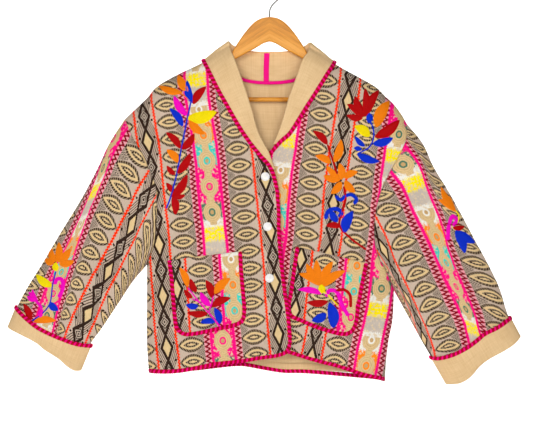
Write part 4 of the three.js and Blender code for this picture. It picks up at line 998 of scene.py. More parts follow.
def collar_stations(part, count):
    side = part["side"]
    rolls, edges, ends, radii = [], [], [], []
    for i, (roll_out, roll_y, roll_z, edge_out, edge_z, seam_out, seam_z) in enumerate(BACK_COLLAR):
        across = (lambda out: side * out) if i else (lambda out: COLLAR_SEAM_X)
        rolls.append(Vector((across(roll_out), roll_y, roll_z)))
        edges.append(lies_over(part, 1, across(edge_out), edge_z, COLLAR_LIFT)[0])
        ends.append(Vector((across(seam_out), body_depth(part, 1, across(seam_out), seam_z) - 2.6, seam_z)))
        radii.append(BACK_ROLL_RADIUS)
    for i, (roll_x, roll_z, edge_x, edge_z) in enumerate(part["lapel"]):
        first = i == 0
        roll_y = 3 if first else CLOTH / 2 - body_depth(part, -1, roll_x, roll_z)
        rolls.append(Vector((roll_x, roll_y, roll_z)))
        on_body = lies_over(part, -1, edge_x, edge_z, COLLAR_LIFT)[0]
        edges.append(Vector((edge_x, 0, edge_z)) if first else on_body)
        radii.append(BACK_ROLL_RADIUS if first else ROLL_RADIUS)
        leg = (rolls[-1] - edges[-1]).normalized()
        end = rolls[-1] - leg * (radii[-1] + (5 if i < 3 else FACING_RETURN))
        end.y = max(end.y, CLOTH + COLLAR_LIFT - body_depth(part, -1, end.x, end.z)) + 3 * first
        ends.append(end)
    last = len(rolls) - 1
    roll_at, edge_at, end_at = (through_vectors(rows) for rows in (rolls, edges, ends))
    radius_at = look_up(list(enumerate(radii)))
    stations, out = [], Vector((0, 1, 0))
    for k in range(count):
        t = last * k / (count - 1)
        along = roll_at(t + 0.05) - roll_at(t - 0.05) if k else Vector((side, 0, 0))
        leg = (roll_at(t) - edge_at(t)).normalized()
        turned = along.cross(leg).normalized()
        out = turned if turned.dot(out) > 0 else -turned
        stations.append({"roll": roll_at(t), "edge": edge_at(t), "end": end_at(t), "leg": leg, "out": out,
                         "radius": radius_at(t)})
    return stations


FALL_END, ROLL_END = 0.6, 0.82


def collar_point(part, station, v):
    """A point of the collar from its outer edge (v 0) over the roll to its sewn end (v 1)."""
    leg, out, radius = station["leg"], station["out"], station["radius"]
    centre = station["roll"] - leg * (radius + LINING / 2)
    fall_end = centre + out * radius
    if v < FALL_END:
        share = v / FALL_END
        point = station["edge"].lerp(fall_end, share)
        point += out * 1.1 * math.sin(math.pi * share) ** 2
        return clear_of_body(part, point, COLLAR_LIFT * (1 - 0.4 * share))
    if v < ROLL_END:
        angle = math.pi * (v - FALL_END) / (ROLL_END - FALL_END)
        return centre + out * radius * math.cos(angle) + leg * radius * math.sin(angle)
    return (centre - out * radius).lerp(station["end"], (v - ROLL_END) / (1 - ROLL_END))


COLLAR_STATIONS = 121
for name, part in SIDES:
    stations = collar_stations(part, COLLAR_STATIONS)
    part["collar"] = stations

    def place(u, v, part=part, stations=stations):
        return collar_point(part, stations[round(u * (COLLAR_STATIONS - 1))], v)

    piece = grid_piece("collar_" + name + "_cloth", COLLAR_STATIONS - 1, 50, place,
                       lambda u, v: (520 * u, 80 * v), (0, 0, 1))
    dress(piece, ["collar_" + name], [beige_cotton], LINING)
    piece.modifiers["wall"].offset = 0
    declare_sheet(piece, 420, 110, ["back_cloth", "front_" + name + "_cloth"])

# %% [markdown]
# The edging is crocheted over the edge: tight stitches of two colours in turn make a cord of short
# bumps. It is one tube along each edge, with a bump for each stitch, and the colour follows the
# tube's own UV map in the same step as the bumps.

# %% The edging's cord
STITCH = 4.65


def even_steps(points, normals, step):
    """Stations a step apart along a smooth line through points."""
    point_at, normal_at = through_vectors(points), through_vectors(normals)
    fine = [i / 30 for i in range(30 * (len(points) - 1) + 1)]
    places = [point_at(t) for t in fine]
    lengths = [0.0]
    for p, q in zip(places, places[1:]):
        lengths.append(lengths[-1] + (q - p).length)
    count = round(lengths[-1] / step)
    stations = []
    for k in range(count + 1):
        goal = lengths[-1] * k / count
        i = min(bisect.bisect_right(lengths, goal) - 1, len(fine) - 2)
        t = mix(fine[i], fine[i + 1], (goal - lengths[i]) / (lengths[i + 1] - lengths[i]))
        stations.append((point_at(t), normal_at(t).normalized()))
    return stations, lengths[-1]


def cord_piece(name, points, normals, closed=False, width=EDGING_WIDTH, thick=EDGING_THICK, around=14):
    if closed:
        points, normals = points + points[:1], normals + normals[:1]
    stations, length = even_steps(points, normals, 1.16)
    last = len(stations) - 1
    stitches = 2 * round(length / STITCH / 2)

    def place(u, v):
        k = round(v * last)
        centre, normal = stations[k % last if closed else k]
        ahead = stations[(k + 1) % last if closed else min(k + 1, last)][0]
        behind = stations[(k - 1) % last if closed else max(k - 1, 0)][0]
        across = (ahead - behind).cross(normal).normalized()
        angle = 2 * math.pi * u
        bump = abs(math.sin(math.pi * (v * stitches + 0.28 * math.cos(angle))))
        size = 0.84 + 0.16 * bump
        if not closed:
            size *= math.sqrt(clamp(min(v, 1 - v) * length / 2.2, 0.0004, 1))
        offset = across * math.cos(angle) * width / 2 + normal * math.sin(angle) * thick / 2
        return centre + offset * size

    threads = lambda u, v: (u, v * stitches)
    piece = grid_piece(name, around, last, place, threads, wrap=True)
    print(name, "of", stitches, "stitches,", round(length), "mm long")
    return piece


# %% [markdown]
# On each side one cord follows the collar's outer edge, passes on to the front edge below the lapel
# and turns the corner into the front hem.

# %% Edging round the collar, down the front and along the hem
def front_edging(part):
    points, normals = [], []
    lift = EDGING_THICK / 2 + 0.4
    for station in part["collar"][::8]:
        spot = station["edge"] - station["leg"] * EDGING_REACH
        on_shoulder = abs(spot.y) < 6
        face = -1 if spot.y < 0 else 1
        if on_shoulder:
            normal = Vector((0.5 * part["side"], 0.4 * face, 0.8)).normalized()
            points.append(spot + normal * 0.8)
        else:
            point, normal = lies_over(part, face, spot.x, spot.z, lift)
            points.append(point)
        normals.append(normal)
    lapel_end = part["lapel"][-1][1]
    edging = part["plans"]["edging"]
    for k in [*range(0, 119, 3), 119]:
        spot = edging((k / 119) ** 0.9)
        if spot.z > lapel_end - 24:
            continue
        depth = max(body_depth(part, -1, spot.x, spot.z) - CLOTH / 2, SEAM)
        points.append(Vector((spot.x, -depth, spot.z)))
        normals.append(lies_over(part, -1, spot.x + part["side"] * 6, spot.z + 6, 0)[1])
    return points, normals


for name, part in SIDES:
    piece = cord_piece("trim_" + name + "_crochet", *front_edging(part))
    dress(piece, ["trim_" + name], [crochet])

# %% [markdown]
# The back hem has one cord from side seam to side seam. Each cuff has a closed ring on its upper rim.

# %% Edging of the back hem and the cuffs
hem_points = [RIGHT["plans"]["back_hem"](1 - k / 20) for k in range(20)]
hem_points += [LEFT["plans"]["back_hem"](k / 20) for k in range(21)]
for point in hem_points:
    point.y = max(body_depth(side_of(point.x), 1, point.x, point.z + EDGING_REACH) - CLOTH / 2, SEAM)
hem_normals = [lies_over(side_of(point.x), 1, point.x * 0.97, point.z + 10, 0)[1] for point in hem_points]
dress(cord_piece("trim_back_crochet", hem_points, hem_normals), ["trim_back"], [crochet])

for name, part in SIDES:
    place = cuff_place(part)
    points, normals = [], []
    for k in range(48):
        rim, below = place(k / 48, 0), place(k / 48, 0.1)
        beside = place((k + 1) / 48, 0) - place((k - 1) / 48, 0)
        up = (rim - below).normalized()
        normal = beside.cross(up).normalized()
        middle = place(0.25, 0).lerp(place(0.75, 0), 0.5)
        if normal.dot(rim - middle) < 0:
            normal.negate()
        points.append(rim + up * EDGING_REACH * 0.9 + normal * 0.8)
        normals.append(normal)
    piece = cord_piece("cuff_trim_" + name + "_crochet", points, normals, closed=True)
    dress(piece, ["cuff_trim_" + name], [crochet])

# %% [markdown]
# The patch pockets lie on the fronts, so every point of one is the front's own point moved out. The
# stripes on a pocket don't meet those of the front, because it is cut from another place.

# %% Patch pockets: stripe_x is where a stripe crosses POCKET_LEVEL
POCKETS = {
    -1: {
        "corners": [(-180, -699), (-56, -679)], "stripe_x": -72, "lean": 0.07, "white_z": -493,
        "edging": [(-199, -555), (-194, -596), (-191, -636), (-188, -670), (-184, -690), (-172, -701),
                   (-155, -702),
                   (-122, -696), (-95, -690), (-70, -684), (-54, -676), (-50, -656), (-52, -623), (-56, -576),
                   (-58, -538)],
    },
    1: {
        "corners": [(166, -695), (42, -665)], "stripe_x": 167, "lean": -0.12, "white_z": -455,
        "edging": [(191, -561), (189, -573), (182, -611), (175, -653), (171, -681), (161, -698), (147, -702),
                   (126, -698),
                   (91, -687), (63, -675), (43, -666), (38, -653), (43, -618), (49, -576), (56, -529)],
    },
}
POCKET_LIFT, POCKET_LEVEL = 2.4, -616


def pocket_plan(side, pocket):
    line = plan_curve(pocket["edging"])
    cloth = moved_sideways(line, side * EDGING_REACH)
    low, far = (nearest_share(line, plan(*corner), 300) for corner in pocket["corners"])

    def first_side(v):
        return cloth(v * low)

    def last_side(v):
        return cloth(1 - v * (1 - far))

    def top(u):
        return cloth(0).lerp(cloth(1), u)

    def bottom(u):
        return cloth(low + u * (far - low))

    return between(first_side, last_side, top, bottom), line


for name, part in SIDES:
    side = part["side"]
    pocket = POCKETS[side]
    sheet, line = pocket_plan(side, pocket)

    def place(u, v, sheet=sheet, part=part):
        spot = sheet(u, v)
        gape = 1.6 * (1 - v) ** 3 * math.sin(math.pi * u)
        return lies_over(part, -1, spot.x, spot.z, POCKET_LIFT + gape)[0]

    def threads(u, v, sheet=sheet, pocket=pocket):
        spot = sheet(u, v)
        aside = spot.x - pocket["stripe_x"] - pocket["lean"] * (POCKET_LEVEL - spot.z)
        return aside, pocket["white_z"] - spot.z - PATCH_START + pocket["lean"] * aside

    piece = grid_piece("pocket_" + name + "_cloth", 48, 52, place, threads, (0, -1, 0))
    dress(piece, ["pocket_" + name], [jacquard, beige_cotton], 1.8)
    declare_sheet(piece, 160, 170, ["front_" + name + "_cloth"])
    part["pocket_cloth"] = piece
    laid = [lies_over(part, -1, line(k / 36).x, line(k / 36).z, EDGING_THICK / 2 + 0.5) for k in range(37)]
    trim = cord_piece("pocket_trim_" + name + "_crochet", [p for p, _ in laid], [n for _, n in laid])
    dress(trim, ["pocket_trim_" + name], [crochet])

# %% [markdown]
# Inside the back neck a pink bias tape covers the neck seam, and a second strip covers the collar's
# centre-back seam.

# %% Bias tapes
neck_z = look_up(BACK_NECK)


def neck_tape_place(u, v):
    x = mix(-57, 53, u)
    z = neck_z(abs(x) + 0.2) + 4 - 6.6 * v
    bulge = 0.5 * math.sin(math.pi * v)
    return Vector((x, body_depth(side_of(x), 1, x, z) - 6.2 - bulge, z))


def centre_tape_place(u, v):
    station = RIGHT["collar"][0]
    point = collar_point(RIGHT, station, mix(0.8, 0.985, v))
    point -= station["out"] * (LINING / 2 + 0.7 + 0.4 * math.sin(math.pi * u))
    sag = 9 * smooth(v, 0.6, 1)
    return Vector((COLLAR_SEAM_X + mix(-5.5, 5.5, u) - 1.5 * math.sin(2 * v), point.y, point.z - sag))


piece = grid_piece("neck_tape_cloth", 60, 6, neck_tape_place, lambda u, v: (110 * u, 6 * v), (0, -1, 0))
dress(piece, ["tape_neck"], [bias_tape], 0.6)
declare_sheet(piece, 112, 12, ["back_lining_cloth"])
piece = grid_piece("centre_tape_cloth", 8, 40, centre_tape_place, lambda u, v: (10 * u, 55 * v), (0, -1, 0))
dress(piece, ["tape_centre"], [bias_tape], 0.6)
declare_sheet(piece, 12, 66, ["collar_right_cloth"])

# %% [markdown]
# Three pearly buttons close the front. A button is turned, so its half section is spun round its
# axis: a raised rim, a dished middle and a rounded edge. Two short threads cross in its middle.

# %% Pearly buttons and sewing thread
pearl, pearl_shader, put = new_finish("pearly polyester")
place = put("TexCoord").node.outputs["Object"]
layers = put("TexNoise", place, Scale=160.0, Detail=2.0, Distortion=1.2)
shimmer = put("MixRGB", put("MapRange", layers, From_Min=0.35, From_Max=0.65), linear("#f7f3ea"),
              linear("#e3dfe4"))
cloud = put("TexNoise", place, Scale=420.0, Detail=2.0)
shimmer = put("MixRGB", put("MapRange", cloud, From_Min=0.45, From_Max=0.8, To_Max=0.5), shimmer,
              linear("#fffdf6"))
relief = put("Bump", Strength=0.12, Distance=0.1 * MM, Height=layers)
put(pearl_shader, Base_Color=shimmer, Normal=relief, Roughness=0.24, Coat_Weight=0.6, Coat_Roughness=0.08,
    Sheen_Weight=0.1)

sewing_thread, thread_shader, put = new_finish("white sewing thread")
twist = put("TexWave", put("TexCoord").node.outputs["Object"], bands_direction="DIAGONAL", Scale=900.0)
# painted shade: the white thread turns grey in the grooves of its twist
put(thread_shader, Base_Color=put("MixRGB", twist, linear("#cfcbc2"), linear("#f3f0ea")), Roughness=0.7)
relief = put("Bump", Strength=0.5, Distance=0.1 * MM, Height=twist)
put(thread_shader, Normal=relief)
print("button finishes ready")

# %% [markdown]
# Each button is made lying flat, and then it and its two threads are turned to the cloth and set on it.

# %% Buttons
def spun(name, profile, steps=40):
    """A half section, as (radius, height) pairs in mm, spun round the Z axis."""
    body = bmesh.new()
    corners = [body.verts.new((radius * MM, 0, height * MM)) for radius, height in profile]
    for a, b in zip(corners, corners[1:]):
        body.edges.new((a, b))
    bmesh.ops.spin(body, geom=body.verts[:] + body.edges[:], cent=(0, 0, 0), axis=(0, 0, 1), dvec=(0, 0, 0),
                   angle=math.tau, steps=steps, use_merge=True)
    bmesh.ops.remove_doubles(body, verts=body.verts, dist=1e-6)
    bmesh.ops.recalc_face_normals(body, faces=body.faces)
    for face in body.faces:
        face.smooth = True
    return body


def place_on(body, point, normal):
    """Turns a mesh so that its Z axis is the cloth's normal, and sets it on the cloth."""
    turn = normal.to_track_quat("Z", "Y").to_matrix()
    bmesh.ops.rotate(body, verts=body.verts, cent=(0, 0, 0), matrix=turn)
    bmesh.ops.translate(body, verts=body.verts, vec=point * MM)


def to_object(name, body):
    mesh_data = bpy.data.meshes.new(name)
    body.to_mesh(mesh_data)
    body.free()
    return new_object(name, mesh_data)


SECTION = [(0, 0), (7.6, 0), (8.4, 0.4), (8.75, 1.1), (8.75, 1.9), (8.3, 2.7), (7.5, 3.0), (6.7, 2.8),
           (6.0, 2.1), (5.2, 1.8), (0, 1.7)]
for name, x, z in (("button_top", -8.4, -390), ("button_middle", -4, -489), ("button_bottom", 0, -591)):
    point, normal = lies_over(RIGHT, -1, x, z, 0.7)
    disc = spun(name, SECTION)
    place_on(disc, point, normal)
    piece = to_object(name + "_pearl", disc)
    dress(piece, [name], [pearl])
    thread = bmesh.new()
    for turn in (0.6, 0.6 + math.pi / 2):
        bar = bmesh.ops.create_cube(thread, size=1)["verts"]
        bmesh.ops.scale(thread, verts=bar, vec=(5.4 * MM, 1.0 * MM, 0.9 * MM))
        bmesh.ops.translate(thread, verts=bar, vec=(0, 0, 2.0 * MM))
        bmesh.ops.rotate(thread, verts=bar, cent=(0, 0, 0), matrix=Matrix.Rotation(turn, 3, "Z"))
    place_on(thread, point, normal)
    threads_piece = to_object(name + "_thread", thread)
    soft = threads_piece.modifiers.new("rounded", "BEVEL")
    soft.width, soft.segments = 0.3 * MM, 2
    dress(threads_piece, [], [sewing_thread])

# %% [markdown]
# The hanger's arms are sawn from a board and rounded along their edges, so each is its outline,
# made 12 mm thick and bevelled. The bar is turned, and the hook is bent wire.

# %% Varnished wood and steel wire
varnished_wood, wood_shader, put = new_finish("varnished schima wood")
place = put("TexCoord").node.outputs["Object"]
parts = put("SeparateXYZ", place)
sloped = put("CombineXYZ", put("Math", parts, operation="ABSOLUTE"), parts.node.outputs["Y"],
             parts.node.outputs["Z"])
sloped = put("VectorRotate", sloped, rotation_type="Y_AXIS", Angle=math.radians(-32))
stretched = put("VectorMath", sloped, (6.0, 130.0, 75.0), operation="MULTIPLY")
bend = put("TexNoise", place, Scale=7.0, Detail=1.0)
stretched = put("VectorMath", stretched, put("VectorMath", bend.node.outputs["Color"], (0.0, 1.4, 3.2),
                                             operation="MULTIPLY"), operation="ADD")
grain = put("TexNoise", stretched, Scale=1.0, Detail=4.0, Roughness=0.6)
honey = put("ValToRGB", grain)
ramp = honey.node.color_ramp
ramp.elements[0].position, ramp.elements[0].color = 0.32, linear("#c27a24")
ramp.elements[1].position, ramp.elements[1].color = 0.66, linear("#efa746")
ramp.elements.new(0.48).color = linear("#e0942e")
pores = put("TexNoise", put("VectorMath", sloped, (60.0, 900.0, 900.0), operation="MULTIPLY"), Scale=1.0,
            Detail=2.0)
pores = put("Math", pores, 0.64, operation="GREATER_THAN")
honey = put("MixRGB", put("Math", pores, 0.35, operation="MULTIPLY"), honey, linear("#a8641f"))
relief = put("Bump", Strength=0.15, Distance=0.2 * MM, Height=grain)
gloss = put("MapRange", grain, To_Min=0.32, To_Max=0.46)
put(wood_shader, Base_Color=honey, Normal=relief, Roughness=gloss, Coat_Weight=0.12, Coat_Roughness=0.3,
    Specular_IOR_Level=0.15)

steel_wire, wire_shader, put = new_finish("dull drawn steel wire")
drawn = put("VectorMath", put("UVMap", uv_map="threads"), (90.0, 6.0, 1.0), operation="MULTIPLY")
lines = put("TexNoise", drawn, Scale=1.0, Detail=3.0)
put(wire_shader, Base_Color=put("MixRGB", lines, linear("#4c4b49"), linear("#77756f")), Metallic=1.0)
put(wire_shader, Roughness=put("MapRange", lines, To_Min=0.2, To_Max=0.42),
    Normal=put("Bump", Strength=0.1, Distance=0.1 * MM, Height=lines))
print("hanger finishes ready")

# %% [markdown]
# The top of each arm follows the shoulder that it carries. The tip hooks down and in to hold the bar.

# %% Hanger
HANGER_THICK, HANGER_EDGE, HANGER_SEAT, ARM_OVERLAP, APEX_Z = 12, 3, 3, 2.5, -70
BAR_Z, BAR_RADIUS, BAR_SEAT = -235, 4.5, 188
ARM_NECK = [(5, -70.4), (14, -72), (25, -77), (36, -86), (49, -101), (60, -116.5), (71, -134), (80, -149)]
ARM_UNDER = [(156, -201), (112, -177), (69, -154.5), (32, -134.5), (10, -122)]
for name, part in SIDES:
    side = part["side"]
    tip = 221 if side < 0 else 212
    top_z = lambda out: part["shoulder_z"](out) - (CLOTH + HANGER_SEAT) / SHOULDER_COSINE
    top = [plan(side * out, z) for out, z in ARM_NECK]
    top += [plan(side * out, top_z(out)) for out in (102, 117, 134, 156, 178, 198, tip - 6)]
    end_z = top_z(tip - 6)
    ends = [(tip, end_z - 6), (tip + 1, end_z - 16), (tip - 2, end_z - 30), (tip - 10, end_z - 37),
            (BAR_SEAT + 8, end_z - 37),
            (BAR_SEAT, end_z - 32), (BAR_SEAT, end_z - 14), (BAR_SEAT - 8, end_z - 10)]
    upper = curve_through([plan(-side * ARM_OVERLAP, APEX_Z), *top, plan(side * tip, end_z - 6)])
    under = curve_through([plan(side * (BAR_SEAT - 8), end_z - 10), *on_side(part, ARM_UNDER),
                           plan(-side * ARM_OVERLAP, -118.5)])
    outline = [upper(k / 60) for k in range(60)] + on_side(part, ends)
    outline += [under(k / 30) for k in range(1, 31)]
    arm = bmesh.new()
    board = arm.faces.new([arm.verts.new(point * MM) for point in outline])
    extruded = bmesh.ops.extrude_face_region(arm, geom=[board])["geom"]
    front_corners = [item for item in extruded if isinstance(item, bmesh.types.BMVert)]
    bmesh.ops.translate(arm, verts=front_corners, vec=(0, -HANGER_THICK * MM, 0))
    bmesh.ops.translate(arm, verts=arm.verts, vec=(0, HANGER_THICK / 2 * MM, 0))
    bmesh.ops.recalc_face_normals(arm, faces=arm.faces)
    piece = to_object("hanger_" + name + "_wood", arm)
    edge = piece.modifiers.new("rounded edges", "BEVEL")
    edge.width, edge.segments, edge.limit_method, edge.angle_limit = HANGER_EDGE * MM, 4, "ANGLE", math.radians(40)
    for polygon in piece.data.polygons:
        polygon.use_smooth = True
    even = piece.modifiers.new("even shading", "WEIGHTED_NORMAL")
    even.keep_sharp = True
    dress(piece, ["hanger_" + name], [varnished_wood])

rod = spun("bar", [(0, -BAR_SEAT + 0.3), (BAR_RADIUS - 0.6, -BAR_SEAT + 0.3), (BAR_RADIUS, -BAR_SEAT + 1),
                   (BAR_RADIUS, BAR_SEAT - 1), (BAR_RADIUS - 0.6, BAR_SEAT - 0.3), (0, BAR_SEAT - 0.3)])
place_on(rod, Vector((0, 0, 0)), Vector((1, 0, 0)))
bmesh.ops.translate(rod, verts=rod.verts, vec=(0, 0, BAR_Z * MM))
dress(to_object("hanger_bar_wood", rod), ["hanger_bar"], [varnished_wood])

# %% [markdown]
# The wire rises from the wood, swings aside and bends into an open ring for the rail.

# %% Hook
WIRE, HOOK_INNER, HOOK_X = 3.4, 20, 1.5


def hook_path():
    bend = HOOK_INNER + WIRE / 2
    centre = Vector((HOOK_X, 0, -HOOK_INNER))

    def on_circle(degrees):
        angle = math.radians(degrees)
        return centre + Vector((math.cos(angle), 0, math.sin(angle))) * bend

    start, stop = -50, 205
    first = on_circle(start)
    away = (on_circle(start + 1) - first).normalized()
    foot, top = Vector((0, 0, APEX_Z - 20)), Vector((0, 0, APEX_Z + 8))
    a, b, c, d = top, top + Vector((0, 0, 12)), first - away * 9, first
    path = [foot]
    for k in range(7):
        t = k / 6
        path.append(a * (1 - t) ** 3 + b * 3 * t * (1 - t) ** 2 + c * 3 * t * t * (1 - t) + d * t ** 3)
    path += [on_circle(mix(start, stop, k / 20)) for k in range(1, 21)]
    return path


wire = curve_through(hook_path())


def wire_place(u, v):
    along = heading(wire, v, 0.004)
    across = Vector((-along.z, 0, along.x))
    angle = math.tau * u
    size = WIRE / 2 * math.sqrt(clamp(min(v, 1 - v) * wire.length / 1.4, 0.0004, 1))
    return wire(v) + (across * math.cos(angle) + Vector((0, 1, 0)) * math.sin(angle)) * size


piece = grid_piece("hook_wire", 16, 150, wire_place, lambda u, v: (u, v), wrap=True)
dress(piece, ["hook"], [steel_wire])

# %% [markdown]
# The sprays are machine embroidery in satin stitch: rayon threads lie side by side over a padded
# shape, so each leaf is a low dome with a soft shine across its threads. Wide leaves are stitched in
# two halves that meet in a groove.

# %% Rayon embroidery thread
THREAD_COLOURS = {
    "blue": "#0430d0", "red": "#bc0004", "orange": "#ff8608", "yellow": "#ffe600", "magenta": "#ff00c4",
    "darkred": "#9c0618",
}
THREAD_STEP = 1.1
embroidery_threads = {}
for name, shade in THREAD_COLOURS.items():
    rayon, rayon_shader, put = new_finish(name + " rayon thread")
    split = put("SeparateXYZ", put("UVMap", uv_map="threads"))
    uneven = put("TexNoise", put("CombineXYZ", put("Math", split, 0.05, operation="MULTIPLY"),
                                 split.node.outputs["Y"], 0.0), Scale=1.1, Detail=2.0)
    strands = put("Math", put("Math", split.node.outputs["Y"], math.tau / THREAD_STEP, operation="MULTIPLY"),
                  operation="SINE")
    # painted shade: the strands sine darkens the colour between neighbouring threads; the uneven noise is the
    # thread's own tone
    light = put("Math", put("MapRange", strands, From_Min=-1.0, To_Min=0.86, To_Max=1.04),
                put("MapRange", uneven, From_Min=0.3, From_Max=0.7, To_Min=0.86, To_Max=1.1),
                operation="MULTIPLY")
    colour = put("VectorMath", linear(shade)[:3], put("CombineXYZ", light, light, light), operation="MULTIPLY")
    relief = put("Bump", Strength=0.5, Distance=0.25 * MM, Height=strands)
    put(rayon_shader, Base_Color=colour, Normal=relief, Roughness=0.5, Specular_IOR_Level=0.1)
    embroidery_threads[name] = rayon
print("thread colours:", ", ".join(embroidery_threads))

# %% [markdown]
# A stitched strip is made on a plan, then each of its points is set on the cloth below it by looking
# straight back from in front. Stems are narrow strips along a curve. Leaves run from base to tip.

# %% Setting stitches on the cloth
def skin_of(piece):
    """The outer skin of a cloth piece, for finding the cloth under a point."""
    return BVHTree.FromPolygons([v.co for v in piece.data.vertices], [p.vertices for p in piece.data.polygons])


def set_on(skin, x, z, lift):
    """A point lift mm out of the cloth that lies behind (x, z)."""
    place, normal = skin.ray_cast(Vector((x * MM, -0.3, z * MM)), Vector((0, 1, 0)))[:2]
    if place is None:
        place, normal = skin.find_nearest(Vector((x * MM, -0.02, z * MM)))[:2]
    normal = -normal if normal.y > 0 else normal
    return place + normal * lift * MM


def add_strip(body, skin, rows, columns, plan_at, lift_at, slant, finish):
    """A strip of stitches; plan_at gives its plan point for a share along and across (-1 to 1)."""
    layer = body.loops.layers.uv["threads"]
    strip = bmesh.ops.create_grid(body, x_segments=columns, y_segments=rows, size=0.5)["verts"]
    shares = {vertex: (vertex.co.y + 0.5, 2 * vertex.co.x) for vertex in strip}
    for vertex, (along, aside) in shares.items():
        x, z = plan_at(along, aside)
        vertex.co = set_on(skin, x, z, lift_at(along, aside))
    for face in dict.fromkeys(face for vertex in strip for face in vertex.link_faces):
        face.smooth, face.material_index = True, finish
        face.normal_update()
        if face.normal.y > 0:
            face.normal_flip()
        for loop in face.loops:
            loop[layer].uv = slant(*shares[loop.vert])


def add_leaf(body, skin, finish, base, tip, width):
    run = Vector(tip) - Vector(base)
    length = run.length
    run.normalize()
    aside_way = Vector((-run.y, run.x))
    bend = 0.07 * length * (1 if (base[0] + tip[1]) % 2 else -1)
    half = width / 2

    def half_at(along):
        return half * max(math.sin(math.pi * along ** 0.88), 0) ** 0.72 + 0.25

    def plan_at(along, aside):
        middle = Vector(base) + run * length * along + aside_way * bend * math.sin(math.pi * along)
        return middle + aside_way * half_at(along) * aside

    def lift_at(along, aside):
        groove = 0.3 * math.exp(-((aside / 0.14) ** 2)) if width > 11 else 0
        return 0.1 + 1.5 * math.sqrt(max(1 - aside * aside, 0)) * (1 - groove) * min(1, half_at(along) / 4)

    def slant(along, aside):
        return half * aside, length * along - 0.7 * half * abs(aside)

    add_strip(body, skin, max(8, round(length / 2.2)), 8, plan_at, lift_at, slant, finish)


def add_stem(body, skin, finish, width, points):
    line = plan_curve(points)

    def plan_at(along, aside):
        way = heading(line, along, 0.01)
        taper = min(1, (1 - along) * line.length / 3 + 0.35, along * line.length / 3 + 0.35)
        spot = line(along) + Vector((-way.z, 0, way.x)) * aside * width / 2 * taper
        return spot.x, spot.z

    lift_at = lambda along, aside: 0.1 + 1.2 * math.sqrt(max(1 - aside * aside, 0))
    slant = lambda along, aside: (aside * width / 2, line.length * along + 0.5 * aside * width)
    add_strip(body, skin, max(6, round(line.length / 2.0)), 4, plan_at, lift_at, slant, finish)


# %% [markdown]
# Each spray is a list of stems, as (colour, width, points), and of leaves, as (colour, base x, base z,
# tip x, tip z, width), all in millimetres. Leaves and petals share one plain pointed shape.

